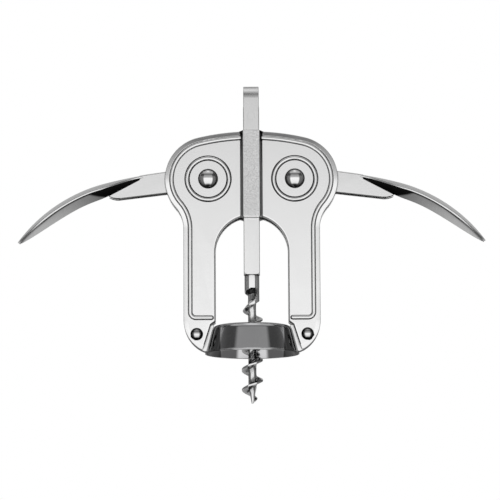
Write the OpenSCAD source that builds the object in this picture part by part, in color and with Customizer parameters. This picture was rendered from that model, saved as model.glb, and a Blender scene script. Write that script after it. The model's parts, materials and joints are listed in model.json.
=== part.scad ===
// Wing corkscrew. Two pressed plates hold two geared levers, which drive a toothed bar.
// The bar carries a right-hand worm, and a collar between the legs sits on the bottle.
// Origin: centre of the ring that meets the bottle's lip. +Z is up, the front plate is at -Y.
// All sizes are in millimetres, with the levers partly raised.

/* [Frame plates] */
// Distance between the two lever pivots
pivot_span = 34.5; // [32:0.5:38]
// Height of the pivots above the bottle's lip
pivot_z = 59.8; // [56:0.2:66]
// Rise of the plates' top edge above their round shoulders
crown_rise = 2; // [1.4:0.1:3]
// Margin of the round shoulders outside the gear teeth
shoulder_margin = 1.25; // [0.8:0.05:2.5]
// Width over the two legs
leg_span = 54.2; // [51:0.2:58]
// Radius of the waist between shoulder and leg
waist_r = 13.1; // [9:0.1:18]
// Radius of the curve at the foot of each leg
foot_r = 13.2; // [11.5:0.1:14.5]
// Height where the feet start to curve in
foot_z = 3.2; // [2.6:0.1:5]
// Depth of the feet below the bottle's lip
foot_drop = 8.4; // [7:0.1:9]
// Thickness of each plate
plate_t = 1.2; // [0.9:0.05:1.6]
// Thickness of the stepped rim
rim_t = 0.6; // [0.3:0.05:0.8]
// Width of the stepped rim
rim_w = 1.9; // [1.2:0.1:2.4]

/* [Window] */
// Width of the arched window
window_w = 28.8; // [26:0.2:31]
// Depth of the arch's top below the pivots
arch_drop = 14.8; // [14:0.2:18]
// Height where the window widens round the collar
window_step_z = 2.6; // [2:0.1:2.6]
// Gap from the collar to the plates at its top
collar_gap_top = 0.7; // [0.4:0.05:1.1]
// Gap from the collar to the plates at the feet
collar_gap_foot = 1.7; // [0.8:0.05:2]

/* [Beads and channel] */
// Width of the raised bead along the outline
bead_w = 1.5; // [1:0.1:2]
// Height of the raised beads
bead_h = 0.4; // [0.2:0.05:0.7]
// Height of the bead's run across each leg
bead_z = 3.4; // [3.2:0.1:6]
// Corner radius of the bead at the foot of each leg
bead_corner_r = 3; // [2.2:0.1:4]
// Mean radius of the ring bead round each pivot
ring_r = 8.35; // [7.2:0.05:9.4]
// Width of the ring bead
ring_w = 1.7; // [1:0.1:2]
// Wall of the centre channel beside its hollow, at its root
channel_side = 1.05; // [0.9:0.05:1.5]
// Inward lean of the channel's side walls
channel_lean = 1.05; // [0.7:0.05:1.2]
// Wall over the hollow of the channel
channel_wall = 1.2; // [0.9:0.05:1.5]
// Length of the guide at the channel's lower end
guide_len = 3; // [2:0.1:4]

/* [Toothed bar] */
// Width of the bar, across its two rows of teeth
bar_w = 6.4; // [6:0.1:6.8]
// Depth of the bar, front to back
bar_d = 6.4; // [5.6:0.1:6.8]
// Reach of the bar below the pivots
bar_down = 38.2; // [34:0.2:40]
// Reach of the bar above the pivots
bar_up = 29.2; // [28.6:0.1:30.4]
// Clearance of the bar in the channel and between the plates
bar_clear = 0.15; // [0.1:0.01:0.25]
// Size of the bevel turned on the bar's lower end
bar_bevel = 1.6; // [0.8:0.1:2.4]

/* [Gear teeth] */
// Teeth that a full circle of the lever's gear would have
full_teeth = 24; // [22:1:26]
// Depth of a bar tooth outside its pitch line
bar_addendum = 0.95; // [0.8:0.01:1.05]
// Depth of a gear tooth outside its pitch circle
gear_addendum = 0.95; // [0.8:0.01:1.05]
// Free play between the teeth at the pitch line
backlash = 0.16; // [0.1:0.01:0.3]
// Clearance between tooth tips and roots
root_clear = 0.2; // [0.15:0.01:0.3]
// Pressure angle of the teeth
pressure_angle = 20; // [18:0.5:23]

/* [Levers] */
// Thickness of the levers' sheet
sheet_t = 1.2; // [0.9:0.05:1.5]
// Side clearance of each lever's gear beside the loop
lever_clear = 0.1; // [0.06:0.01:0.25]
// Distance from pivot to the end of the straight neck
neck_reach = 24; // [22:0.2:27]
// Height of the neck's top over the pivot, at that end
neck_rise = 2.3; // [1.8:0.1:3]
// Slope of the neck below level
neck_slope = 8; // [6:0.5:11]
// Length of the gently curved root of the blade
root_len = 18.85; // [15:0.1:24]
// Bend of the blade over that root
root_bend = 8; // [5:0.5:11]
// Length of the strongly curved outer blade
blade_len = 41.4; // [34:0.1:50]
// Bend of the outer blade
blade_bend = 37; // [28:0.5:44]
// Width of the blade
blade_w = 22; // [17:0.5:25]
// Depth of the blade's hollow
blade_sag = 3; // [1.6:0.1:4]
// Length over which the blade widens
widen_len = 24; // [20:0.5:28]
// Length of the rounded nose
nose_len = 27; // [20:0.5:32]
// Reach of the cheeks' outer corner from the pivot
cheek_reach = 39.7; // [37:0.1:42]
// Depth of the cheeks' lowest point under the pivot
cheek_drop = 7.5; // [6.8:0.1:8.4]
// Depth of the cheeks' lower edge under the pivot, at the gear
cheek_root_drop = 5.2; // [4.4:0.1:6]
// Radius of the cheeks' curve up to the outer corner
cheek_corner_r = 7.5; // [5:0.1:9]
// Distance from the neck's end to the cheeks' slanted ends
slant_lead = 3.4; // [2.4:0.1:5]

/* [Rivets] */
// Radius of the pivot rivets' shank
pivot_r = 2.5; // [2:0.1:2.9]
// Radius of the sleeve that each lever turns on
sleeve_r = 3.5; // [3.4:0.1:4.2]
// Running clearance of a lever on its sleeve
sleeve_clear = 0.05; // [0.02:0.01:0.09]
// Radius of the pivot rivets' domed heads
pivot_head_r = 4; // [3.4:0.1:4.6]
// Height of the pivot rivets' domed heads
pivot_head_h = 2.4; // [1.4:0.1:3]
// Radius of the collar rivets' shank
collar_rivet_r = 1.5; // [1.2:0.1:1.9]
// Radius of the collar rivets' domed heads
collar_head_r = 2.5; // [2.2:0.1:2.8]
// Height of the collar rivets' domed heads
collar_head_h = 1.5; // [0.9:0.1:2]
// Distance between the two collar rivets
collar_rivet_span = 43.8; // [42.6:0.1:45]
// Depth of the collar rivets below the bottle's lip
collar_rivet_drop = 2.4; // [1.8:0.1:2.8]
// Radius of the flush rivet through the loop
loop_rivet_r = 1.5; // [1:0.1:1.7]
// Clearance of a set rivet in its hole
rivet_fit = 0.02; // [0.01:0.01:0.04]

/* [Collar] */
// Outer radius of the collar at its top
collar_top_r = 15.6; // [15.4:0.1:16.2]
// Outer radius of the collar at its mouth
collar_mouth_r = 18.7; // [18.2:0.1:19.2]
// Depth of the collar below the bottle's lip
collar_drop = 10; // [9.6:0.1:11]
// Thickness of the collar's top
collar_top_t = 1.3; // [1:0.1:1.6]
// Inner radius that fits round the bottle's lip
lip_r = 14.6; // [14:0.1:14.8]
// Length of the straight part round the bottle's lip
lip_len = 3.5; // [2:0.1:5]
// Wall of the collar at its mouth
mouth_wall = 0.9; // [0.7:0.05:1.2]
// Radius of the hole for the worm
worm_hole_r = 5; // [4.8:0.1:5.6]
// Radius of the collar's upper shoulder
shoulder_r = 2; // [1:0.1:2.2]
// Reach of the two lugs' lower edge beyond the collar's mouth
lug_reach = 4.4; // [3.6:0.1:5]
// Rise of the lugs' lower edge over that reach
lug_rise = 3; // [2:0.1:3.6]

/* [Worm] */
// Radius of the shank
shank_r = 2.95; // [2.6:0.05:3.1]
// Radius of the shank's spigot in the bar
spigot_r = 2; // [1.4:0.1:2.2]
// Length of the spigot
spigot_len = 9; // [6:0.5:12]
// Outer radius of the blade
worm_r = 4.2; // [3.8:0.05:4.5]
// Radius of the worm's core
core_r = 1.75; // [1.4:0.05:2]
// Advance of the worm in one turn
worm_pitch = 8.05; // [7:0.05:9]
// Length of the plain shank under the bar
shank_len = 5; // [3:0.1:7]
// Length over which the flute deepens before the blade stands out
flute_len = 7.6; // [6:0.1:9]
// Length from the plain shank to the tip
worm_len = 46.2; // [42:0.2:52]
// Length of the tapered tip
tip_taper = 7; // [5:0.1:10]

/* [Hanging loop] */
// Width of the loop's strip
loop_w = 6.2; // [5.6:0.1:6.4]
// Thickness of the loop's strip
loop_t = 2.4; // [1.8:0.1:2.6]
// Rise of the loop's top above the pivots
loop_up = 38; // [36.5:0.1:42]
// Rise of the strip's lower ends above the pivots
loop_low = 10.2; // [9:0.1:13]
// Clearance of the loop in the channel
loop_clear = 0.25; // [0.15:0.01:0.4]

/* [Hidden] */
$fn = 64;

steel = [0.78, 0.79, 0.80];
chrome = [0.62, 0.63, 0.65];
bright = [0.84, 0.85, 0.86];
// Small overlap that joins touching shapes, and a length past every cut.
eps = 0.01;
past = 120;

// Gear and bar: the pitch line lies one bar addendum inside the bar's flank.
pivot_x = pivot_span / 2;
pitch_x = bar_w / 2 - bar_addendum;
pitch_r = pivot_x - pitch_x;
tooth_pitch = 2 * PI * pitch_r / full_teeth;
tooth_angle = 360 / full_teeth;
base_r = pitch_r * cos(pressure_angle);
gear_tip_r = pitch_r + gear_addendum;
gear_root_r = pitch_r - bar_addendum - root_clear;
bar_root_x = pitch_x - gear_addendum - root_clear;
// Teeth are counted from the one on the centre line, down the bar and up the bar.
teeth_down = 3;
teeth_up = 5;

// Plates: faces, outline and window.
inner_y = bar_d / 2 + bar_clear;
outer_y = inner_y + plate_t;
lobe_r = gear_tip_r + shoulder_margin;
leg_x = leg_span / 2;
crown_h = lobe_r + crown_rise;
crown_z = pivot_z + crown_h;
crown_r = (pow(pivot_x, 2) + pow(crown_h, 2) - pow(lobe_r, 2)) / (2 * crown_rise);
crown_cz = crown_z - crown_r;
crown_angle = atan(pivot_x / (pivot_z - crown_cz));
waist_x = leg_x + waist_r;
waist_z = pivot_z - sqrt(pow(lobe_r + waist_r, 2) - pow(waist_x - pivot_x, 2));
window_r = window_w / 2;
arch_z = pivot_z - arch_drop - window_r;
bead_in = rim_w;
// Plate round a bead's open end.
bead_end_margin = 1;

// Channel: its hollow takes the loop, front and back.
loop_y = bar_d / 2 + loop_t;
hollow_y = loop_y + loop_clear;
hollow_x = bar_w / 2 + bar_clear;
face_y = hollow_y + channel_wall;
channel_w = 2 * (hollow_x + channel_side);
channel_face_w = channel_w - 2 * channel_lean;
channel_low_z = sqrt(pow(window_r, 2) - pow(channel_w / 2, 2)) + arch_z;

// Collar: slope of its side, and its two lugs between the plates.
collar_h = collar_drop + collar_top_t;
collar_slope = (collar_mouth_r - collar_top_r) / collar_h;
function collar_side_r(z) = collar_mouth_r - collar_slope * (z + collar_drop);
collar_rivet_x = collar_rivet_span / 2;

// Lever: half width of the neck, and the path of the blade's crown from its start.
lever_y = bar_d / 2 - lever_clear;
root_half = lever_y - sheet_t / 8;
root_r = root_len / root_bend * 180 / PI;
blade_r = blade_len / blade_bend * 180 / PI;
crown_len = root_len + blade_len;
function path_angle(s) =
    s < root_len ? neck_slope + s / root_r * 180 / PI
    : neck_slope + root_bend + (s - root_len) / blade_r * 180 / PI;
function root_point(a) = [
    neck_reach + root_r * (sin(a) - sin(neck_slope)),
    neck_rise - root_r * (cos(neck_slope) - cos(a))
];
knee_angle = neck_slope + root_bend;
knee = root_point(knee_angle);
function blade_point(a) = [
    knee[0] + blade_r * (sin(a) - sin(knee_angle)),
    knee[1] - blade_r * (cos(knee_angle) - cos(a))
];
function path_point(s) =
    s < root_len ? root_point(path_angle(s)) : blade_point(path_angle(s));
function smooth(t) = let (u = min(1, max(0, t))) u * u * (3 - 2 * u);
function nose_factor(s) =
    let (t = max(0, (s - crown_len + nose_len) / nose_len)) sqrt(max(0, 1 - pow(t, 2.4)));
function half_width(s) =
    (root_half + (blade_w / 2 - root_half) * smooth(s / widen_len)) * nose_factor(s);
function sag(s) = blade_sag * (0.15 + 0.85 * smooth(s / (0.8 * widen_len))) * nose_factor(s);
// The web lies just under the cheeks' edges, and dives under the blade's start.
// The blade's nose ends in a short straight edge.
web_sink = 0.05;
web_dive = 0.3;
blade_start = 1.6;
nose_edge = 0.8;
row_steps = 8;
// Cheeks end on a slant from under the blade's root to a corner over a curve of this angle.
slant_top = [neck_reach + slant_lead, path_point(slant_lead)[1] - 1.5 * sheet_t];
cheek_turn = 30;
cheek_tip = [cheek_reach, cheek_corner_r * (1 - cos(cheek_turn)) - cheek_drop];
turn_x = cheek_reach - cheek_corner_r * sin(cheek_turn);
turn_z = cheek_corner_r - cheek_drop;

// Bar, loop and worm: heights over the bottle's lip.
bar_low_z = pivot_z - bar_down;
bar_top_z = pivot_z + bar_up;
bar_corner = sqrt(pow(bar_w, 2) + pow(bar_d, 2)) / 2;
loop_low_z = pivot_z + loop_low;
bend_z = pivot_z + loop_up - loop_y;
// The loop's rivet goes through the plain head above the last teeth.
head_low_z = pivot_z + (teeth_up + 0.4) * tooth_pitch;
loop_rivet_z = (bar_top_z + head_low_z) / 2;
flute_top_z = bar_low_z - shank_len;
blade_top_z = flute_top_z - flute_len;
tip_z = flute_top_z - worm_len;

// Worm: rings of the blade's outline, turned with height.
// The flute's top ring lies just inside the shank, which reaches down over it.
ring_r_max = shank_r - 0.02;
shank_over = 0.4;
// A crest stands at +X at this distance below the blade's top.
crest_z = blade_top_z - 5.2;
// Heights over which the flute deepens, the blade stands out and the land thins.
flute_ramp = 4;
blade_ramp = 4;
thin_ramp = 5;
blade_angles = [0, 9, 24, 44, 68, 95, 125, 152, 180, 208, 235, 265, 292, 316, 336, 351];
// Share of the blade's height that is left at each of those angles.
blade_share = [1, 0.86, 0.6, 0.34, 0.14, 0.03, 0, 0, 0, 0, 0, 0.03, 0.14, 0.34, 0.6, 0.86];
ring_count = len(blade_angles);
worm_rings = ceil(ring_count * worm_len / worm_pitch);

// ---- Plates ----

// Right half of the fillet between a shoulder and its leg.
module waist_fillet(inset) {
    difference() {
        polygon([
            [0, pivot_z], [pivot_x, pivot_z], [waist_x, waist_z], [0, waist_z]
        ]);
        translate([waist_x, waist_z]) circle(waist_r + inset, $fn = 96);
    }
}

// Outline of a plate without its window, drawn in by an inset.
module plate_body(inset) {
    intersection() {
        translate([0, crown_cz]) circle(crown_r - inset, $fn = 256);
        polygon([
            [-pivot_x, pivot_z], [pivot_x, pivot_z],
            [2 * crown_r * sin(crown_angle), crown_cz + 2 * crown_r * cos(crown_angle)],
            [-2 * crown_r * sin(crown_angle), crown_cz + 2 * crown_r * cos(crown_angle)]
        ]);
    }
    for (side = [0, 1]) mirror([side, 0]) {
        translate([pivot_x, pivot_z]) circle(lobe_r - inset, $fn = 96);
        waist_fillet(inset);
        translate([0, foot_z]) square([leg_x - inset, waist_z - foot_z + eps]);
        intersection() {
            translate([leg_x - foot_r, foot_z]) circle(foot_r - inset, $fn = 96);
            translate([0, -foot_drop]) square([leg_x, foot_drop + foot_z + eps]);
        }
    }
}

// Arched window, wider round the collar, grown by a margin.
module window(margin) {
    translate([0, arch_z]) circle(window_r + margin, $fn = 96);
    translate([-window_r - margin, window_step_z - margin])
        square([2 * (window_r + margin), arch_z - window_step_z + margin]);
    polygon([
        [-collar_side_r(-foot_drop) - collar_gap_foot - margin, -foot_drop - 1],
        [collar_side_r(-foot_drop) + collar_gap_foot + margin, -foot_drop - 1],
        [collar_top_r + collar_gap_top + margin, collar_top_t],
        [window_r + margin, window_step_z],
        [-window_r - margin, window_step_z],
        [-collar_top_r - collar_gap_top - margin, collar_top_t]
    ]);
}

// Area inside the bead's line, with round lower corners.
module bead_area(inset) {
    drawn_in = inset - bead_in;
    corner_x = leg_x - bead_in - bead_corner_r;
    intersection() {
        plate_body(inset);
        translate([-2 * leg_x, bead_z + bead_corner_r]) square([4 * leg_x, 2 * crown_z]);
    }
    translate([-corner_x, bead_z + drawn_in])
        square([2 * corner_x, bead_corner_r - drawn_in + eps]);
    for (side = [-1, 1]) translate([side * corner_x, bead_z + bead_corner_r])
        circle(bead_corner_r - drawn_in);
}

// A flat layer of the front plate, from one depth to another.
module layer(y_from, y_to) {
    translate([0, -y_from, 0]) rotate([90, 0, 0]) linear_extrude(y_to - y_from) children();
}

// Round holes through both plates for the four rivets.
module rivet_holes(deep) {
    for (side = [-1, 1]) {
        translate([side * pivot_x, 0, pivot_z]) rotate([90, 0, 0])
            cylinder(r = pivot_r + rivet_fit, h = deep, center = true);
        translate([side * collar_rivet_x, 0, -collar_rivet_drop]) rotate([90, 0, 0])
            cylinder(r = collar_rivet_r + rivet_fit, h = deep, center = true);
    }
}

// Raised centre channel of the front plate, as a solid bar with sloping sides.
module channel_block() {
    translate([0, 0, channel_low_z]) linear_extrude(crown_z - channel_low_z) polygon([
        [-channel_w / 2, -inner_y], [channel_w / 2, -inner_y],
        [channel_w / 2, -outer_y], [channel_face_w / 2, -face_y],
        [-channel_face_w / 2, -face_y], [-channel_w / 2, -outer_y]
    ]);
}

module plate() {
    difference() {
        union() {
            layer(inner_y, inner_y + rim_t) difference() {
                plate_body(0);
                window(0);
            }
            layer(inner_y + rim_t - eps, outer_y) difference() {
                plate_body(rim_w);
                window(0);
            }
            layer(outer_y - eps, outer_y + bead_h) difference() {
                bead_area(bead_in);
                bead_area(bead_in + bead_w);
                window(bead_end_margin);
                translate([-channel_w / 2, 0]) square([channel_w, 2 * crown_z]);
            }
            for (side = [-1, 1])
                translate([side * pivot_x, -outer_y - bead_h + ring_w / 2, pivot_z])
                    rotate([90, 0, 0]) rotate_extrude($fn = 96)
                        translate([ring_r, 0]) circle(ring_w / 2, $fn = 24);
            channel_block();
        }
        // Nothing stands proud of the inner face.
        translate([-past / 2, -inner_y, -past / 2]) cube([past, past, 2 * past]);
        rivet_holes(past);
        // Hollow of the channel, open at the top, above the guide.
        translate([-hollow_x, -hollow_y, channel_low_z + guide_len])
            cube([2 * hollow_x, hollow_y, past]);
    }
}

module front_plate() {
    color(steel) plate();
}

module back_plate() {
    color(steel) mirror([0, 1, 0]) plate();
}

// ---- Collar ----

// Half section of the collar's outside, filled to the axis.
module collar_outside() {
    difference() {
        polygon([
            [0, -collar_drop], [collar_mouth_r, -collar_drop],
            [collar_top_r, collar_top_t], [0, collar_top_t]
        ]);
        translate([collar_top_r - shoulder_r, collar_top_t - shoulder_r])
            square([2 * shoulder_r, 2 * shoulder_r]);
    }
    translate([collar_top_r - shoulder_r, collar_top_t - shoulder_r]) intersection() {
        circle(shoulder_r);
        square([2 * shoulder_r, 2 * shoulder_r]);
    }
}

// Half section of the collar's inside, with a straight part round the lip.
module collar_inside() {
    polygon([
        [0, -collar_drop - 1], [collar_mouth_r - mouth_wall, -collar_drop - 1],
        [collar_mouth_r - mouth_wall, -collar_drop],
        [lip_r, -lip_len], [lip_r, 0], [0, 0]
    ]);
}

module bottle_collar() {
    color(chrome) difference() {
        union() {
            rotate_extrude($fn = 128) collar_outside();
            for (side = [0, 1]) mirror([side, 0, 0]) layer(-inner_y, inner_y) intersection() {
                plate_lug();
                translate([leg_x - foot_r, foot_z]) circle(foot_r, $fn = 96);
            }
        }
        rotate_extrude($fn = 128) collar_inside();
        cylinder(r = worm_hole_r, h = past, center = true);
        rivet_holes(past);
    }
}

// Lug from the collar's side out past the leg's curve.
module plate_lug() {
    polygon([
        [lip_r, collar_top_t], [leg_x, collar_top_t], [leg_x, lug_rise - collar_drop],
        [collar_mouth_r + lug_reach, lug_rise - collar_drop], [collar_mouth_r, -collar_drop],
        [collar_mouth_r - mouth_wall, -collar_drop]
    ]);
}

// ---- Rivets ----

// Domed head that rises from Z = 0.
module dome(r, h) {
    ball = (pow(r, 2) + pow(h, 2)) / (2 * h);
    intersection() {
        translate([0, 0, h - ball]) sphere(ball, $fn = 64);
        cylinder(r = 2 * r, h = 2 * h);
    }
}

// Rivet through both plates, along Y, with a dome on each plate.
module rivet(shank, head, rise) {
    rotate([90, 0, 0]) {
        cylinder(r = shank, h = 2 * outer_y, center = true);
        translate([0, 0, outer_y]) dome(head, rise);
        mirror([0, 0, 1]) translate([0, 0, outer_y]) dome(head, rise);
    }
}

module pivot_rivets() {
    color(bright) for (side = [-1, 1])
        translate([side * pivot_x, 0, pivot_z]) rivet(pivot_r, pivot_head_r, pivot_head_h);
}

module pivot_sleeves() {
    color(steel) for (side = [-1, 1])
        translate([side * pivot_x, 0, pivot_z]) rotate([90, 0, 0]) difference() {
            cylinder(r = sleeve_r, h = 2 * inner_y, center = true);
            cylinder(r = pivot_r + rivet_fit, h = past, center = true);
        }
}

module collar_rivets() {
    color(bright) for (side = [-1, 1])
        translate([side * collar_rivet_x, 0, -collar_rivet_drop])
            rivet(collar_rivet_r, collar_head_r, collar_head_h);
}

// ---- Levers ----

function rad(a) = a * PI / 180;
function involute(a) = tan(a) - rad(a);
// Half angle of a gear tooth at a radius.
function tooth_half(r) =
    (tooth_pitch / 2 - backlash / 2) / (2 * pitch_r) * 180 / PI
    + (involute(pressure_angle) - involute(acos(min(1, base_r / r)))) * 180 / PI;
function polar(r, a) = [r * cos(a), r * sin(a)];

// Gear tooth that points along +X.
module gear_tooth() {
    steps = 5;
    flank = [for (i = [0:steps]) base_r + (gear_tip_r - base_r) * i / steps];
    polygon(concat(
        [[gear_root_r - 1, -gear_root_r * sin(tooth_half(base_r))]],
        [for (r = flank) polar(r, -tooth_half(r))],
        [for (i = [steps:-1:0]) polar(flank[i], tooth_half(flank[i]))],
        [[gear_root_r - 1, gear_root_r * sin(tooth_half(base_r))]]
    ));
}

// Side view of one cheek, round the pivot: gear sector, arm and slanted end.
module cheek() {
    circle(gear_root_r, $fn = 96);
    for (k = [-teeth_up:teeth_down]) rotate(180 + k * tooth_angle) gear_tooth();
    polygon(concat(
        [[0, neck_rise + neck_reach * tan(neck_slope)], [neck_reach, neck_rise]],
        [[slant_top[0], slant_top[1] + sheet_t], slant_top, cheek_tip],
        [for (a = [cheek_turn - 6:-6:-6]) [
            turn_x + cheek_corner_r * sin(a), turn_z - cheek_corner_r * cos(a)
        ]],
        [[gear_tip_r, -cheek_root_drop], [0, -cheek_root_drop]]
    ));
}

// Web that joins the two cheeks along the top of the neck.
module neck_web() {
    web_from = gear_root_r;
    web_z = neck_rise + (neck_reach - web_from) * tan(neck_slope);
    polygon([
        [web_from, web_z - web_sink], [neck_reach, neck_rise - web_sink],
        [slant_top[0], slant_top[1] + 1.5 * sheet_t - web_dive],
        [slant_top[0], slant_top[1] + 0.5 * sheet_t],
        [neck_reach, neck_rise - sheet_t], [web_from, web_z - sheet_t]
    ]);
}

// One ring of the blade: over the top from front to back, then back along the underside.
function blade_ring(s) =
    let (
        p = path_point(s), a = path_angle(s), w = max(nose_edge, half_width(s)), d = sag(s),
        row = [for (j = [0:row_steps]) 2 * j / row_steps - 1]
    )
    concat(
        [for (v = row) blade_spot(p, a, v * w, -d * v * v)],
        [for (j = [row_steps:-1:0]) blade_spot(p, a, row[j] * w, -d * row[j] * row[j] - sheet_t)]
    );
function blade_spot(p, a, y, n) = [p[0] + n * sin(a), y, p[1] + n * cos(a)];

module blade() {
    stations = 20;
    count = 2 * row_steps + 2;
    step = (crown_len - blade_start) / stations;
    points = [for (i = [0:stations]) each blade_ring(blade_start + i * step)];
    sides = [
        for (i = [0:stations - 1], j = [0:count - 1])
            let (a = i * count + j, b = i * count + (j + 1) % count)
            each [[a, b, b + count], [a, b + count, a + count]]
    ];
    // Each end is closed by strips from its upper to its lower row.
    caps = [
        for (j = [0:row_steps - 1])
            let (c = count - 1 - j, far = stations * count)
            each [
                [j + 1, j, c], [j + 1, c, c - 1],
                [far + j, far + j + 1, far + c], [far + j + 1, far + c - 1, far + c]
            ]
    ];
    polyhedron(points, concat(sides, caps), convexity = 4);
}

// Right lever, round its own pivot.
module lever() {
    difference() {
        union() {
            for (side = [0, 1]) mirror([0, side, 0])
                layer(lever_y - sheet_t, lever_y) cheek();
            layer(-lever_y, lever_y) neck_web();
            blade();
        }
        rotate([90, 0, 0])
            cylinder(r = sleeve_r + sleeve_clear, h = past, center = true);
    }
}

module right_lever() {
    color(steel) translate([pivot_x, 0, pivot_z]) lever();
}

module left_lever() {
    color(steel) mirror([1, 0, 0]) translate([pivot_x, 0, pivot_z]) lever();
}

// ---- Toothed bar, worm and loop ----

// Space between two teeth of the bar, on its +X side.
module bar_space() {
    flank_x = bar_w / 2 + 1;
    half = (tooth_pitch / 2 + backlash / 2) / 2;
    low = half - (pitch_x - bar_root_x) * tan(pressure_angle);
    high = half + (flank_x - pitch_x) * tan(pressure_angle);
    rotate([90, 0, 0]) linear_extrude(past, center = true) polygon([
        [bar_root_x, -low], [flank_x, -high], [flank_x, high], [bar_root_x, low]
    ]);
}

module rack_bar() {
    color(bright) difference() {
        intersection() {
            translate([-bar_w / 2, -bar_d / 2, bar_low_z])
                cube([bar_w, bar_d, bar_top_z - bar_low_z]);
            union() {
                translate([0, 0, bar_low_z]) cylinder(
                    r1 = bar_corner - bar_bevel, r2 = bar_corner + bar_bevel, h = 2 * bar_bevel
                );
                translate([0, 0, bar_low_z + 2 * bar_bevel])
                    cylinder(r = 2 * bar_corner, h = past);
            }
        }
        for (k = [-teeth_up:teeth_down], side = [0, 1]) mirror([side, 0, 0])
            translate([0, 0, pivot_z - k * tooth_pitch]) bar_space();
        translate([0, 0, bar_low_z - 1]) cylinder(r = spigot_r + rivet_fit, h = spigot_len + 1);
        loop_rivet_hole();
    }
}

module loop_rivet_hole() {
    translate([0, 0, loop_rivet_z]) rotate([90, 0, 0])
        cylinder(r = loop_rivet_r + rivet_fit, h = past, center = true);
}

// Height above the tip, as a share of the tapered part.
function taper(z) = min(1, (z - tip_z) / tip_taper);
// Radius in the flute, which runs out towards the shank.
function valley_r(z) =
    let (open = smooth((flute_top_z - z) / flute_ramp))
    (ring_r_max - (ring_r_max - core_r) * open) * (0.12 + 0.88 * sqrt(taper(z)));
// Radius of the blade's edge, which leaves the shank and ends in the tip.
function crest_r(z) =
    let (out = smooth((blade_top_z - z) / blade_ramp))
    (ring_r_max + (worm_r - ring_r_max) * out) * (0.06 + 0.94 * pow(taper(z), 0.8));
function worm_turn(z) = 360 * (z - crest_z) / worm_pitch;
// Inside the shank the land between flutes is broad, below it the blade is thin.
function land_share(i, z) =
    let (
        thin = smooth((blade_top_z - z) / thin_ramp),
        off = min(blade_angles[i], 360 - blade_angles[i])
    )
    thin * blade_share[i] + (1 - thin) * smooth((190 - off) / 75);
function worm_ring(z) = [
    for (i = [0:ring_count - 1])
        let (r = valley_r(z) + max(0, crest_r(z) - valley_r(z)) * land_share(i, z))
        let (a = blade_angles[i] + worm_turn(z))
        [r * cos(a), r * sin(a), z]
];

module worm_blade() {
    n = ring_count;
    points = [for (i = [0:worm_rings]) each worm_ring(tip_z + worm_len * i / worm_rings)];
    sides = [
        for (i = [0:worm_rings - 1], j = [0:n - 1])
            let (a = i * n + j, b = i * n + (j + 1) % n)
            each [[a, b + n, b], [a, a + n, b + n]]
    ];
    caps = [
        for (j = [1:n - 2])
            let (far = worm_rings * n)
            each [[0, j, j + 1], [far, far + j + 1, far + j]]
    ];
    polyhedron(points, concat(sides, caps), convexity = 8);
}

module worm() {
    color(bright) {
        translate([0, 0, bar_low_z - eps]) cylinder(r = spigot_r, h = spigot_len - rivet_fit);
        translate([0, 0, flute_top_z - shank_over])
            cylinder(r = shank_r, h = shank_len + shank_over);
        worm_blade();
    }
}

module hanging_loop() {
    color(bright) difference() {
        rotate([90, 0, 90]) linear_extrude(loop_w, center = true) difference() {
            union() {
                translate([0, bend_z]) circle(loop_y, $fn = 64);
                translate([-loop_y, loop_low_z]) square([2 * loop_y, bend_z - loop_low_z]);
            }
            translate([0, bend_z]) circle(bar_d / 2, $fn = 64);
            translate([-bar_d / 2, loop_low_z - 1]) square([bar_d, bend_z - loop_low_z + 1]);
        }
        loop_rivet_hole();
    }
}

module loop_rivet() {
    color(steel) translate([0, 0, loop_rivet_z]) rotate([90, 0, 0])
        cylinder(r = loop_rivet_r, h = 2 * loop_y, center = true);
}

front_plate();
back_plate();
bottle_collar();
pivot_rivets();
pivot_sleeves();
collar_rivets();
left_lever();
right_lever();
rack_bar();
worm();
hanging_loop();
loop_rivet();
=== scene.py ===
"""Wing corkscrew: fine meshes, metal finishes and a studio round the frame of the CAD model."""

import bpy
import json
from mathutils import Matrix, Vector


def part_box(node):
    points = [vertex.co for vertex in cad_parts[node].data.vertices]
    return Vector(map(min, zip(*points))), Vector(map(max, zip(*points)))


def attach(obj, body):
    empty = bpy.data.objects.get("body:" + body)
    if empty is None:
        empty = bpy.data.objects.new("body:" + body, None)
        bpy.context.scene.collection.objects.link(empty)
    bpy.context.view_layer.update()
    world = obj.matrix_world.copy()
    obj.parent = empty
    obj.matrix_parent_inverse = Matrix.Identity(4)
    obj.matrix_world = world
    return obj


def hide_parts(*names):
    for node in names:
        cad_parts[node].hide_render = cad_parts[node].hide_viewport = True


bl_info = {
    "name": "Wing corkscrew",
    "version": (1, 0, 0),
    "blender": (4, 5, 0),
    "location": "3D View > Sidebar > Corkscrew",
    "description": "Models the pieces of a wing corkscrew over its CAD frame",
    "category": "Mesh",
}

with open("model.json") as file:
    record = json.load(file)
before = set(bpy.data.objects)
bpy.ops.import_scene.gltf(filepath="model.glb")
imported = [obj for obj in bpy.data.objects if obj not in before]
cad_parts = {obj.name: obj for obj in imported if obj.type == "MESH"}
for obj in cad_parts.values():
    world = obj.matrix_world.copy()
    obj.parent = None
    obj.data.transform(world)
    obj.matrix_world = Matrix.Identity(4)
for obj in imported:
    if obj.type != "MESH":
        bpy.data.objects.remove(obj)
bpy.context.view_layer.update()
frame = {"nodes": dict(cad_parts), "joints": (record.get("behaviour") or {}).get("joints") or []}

import json
from math import acos, atan, atan2, cos, degrees, hypot, pi, radians, sin, sqrt, tan

import bmesh
import bpy
from bpy.props import FloatProperty, FloatVectorProperty, PointerProperty
from bpy.types import Operator, Panel, PropertyGroup
from mathutils import Matrix, Vector

MM = 0.001

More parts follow.
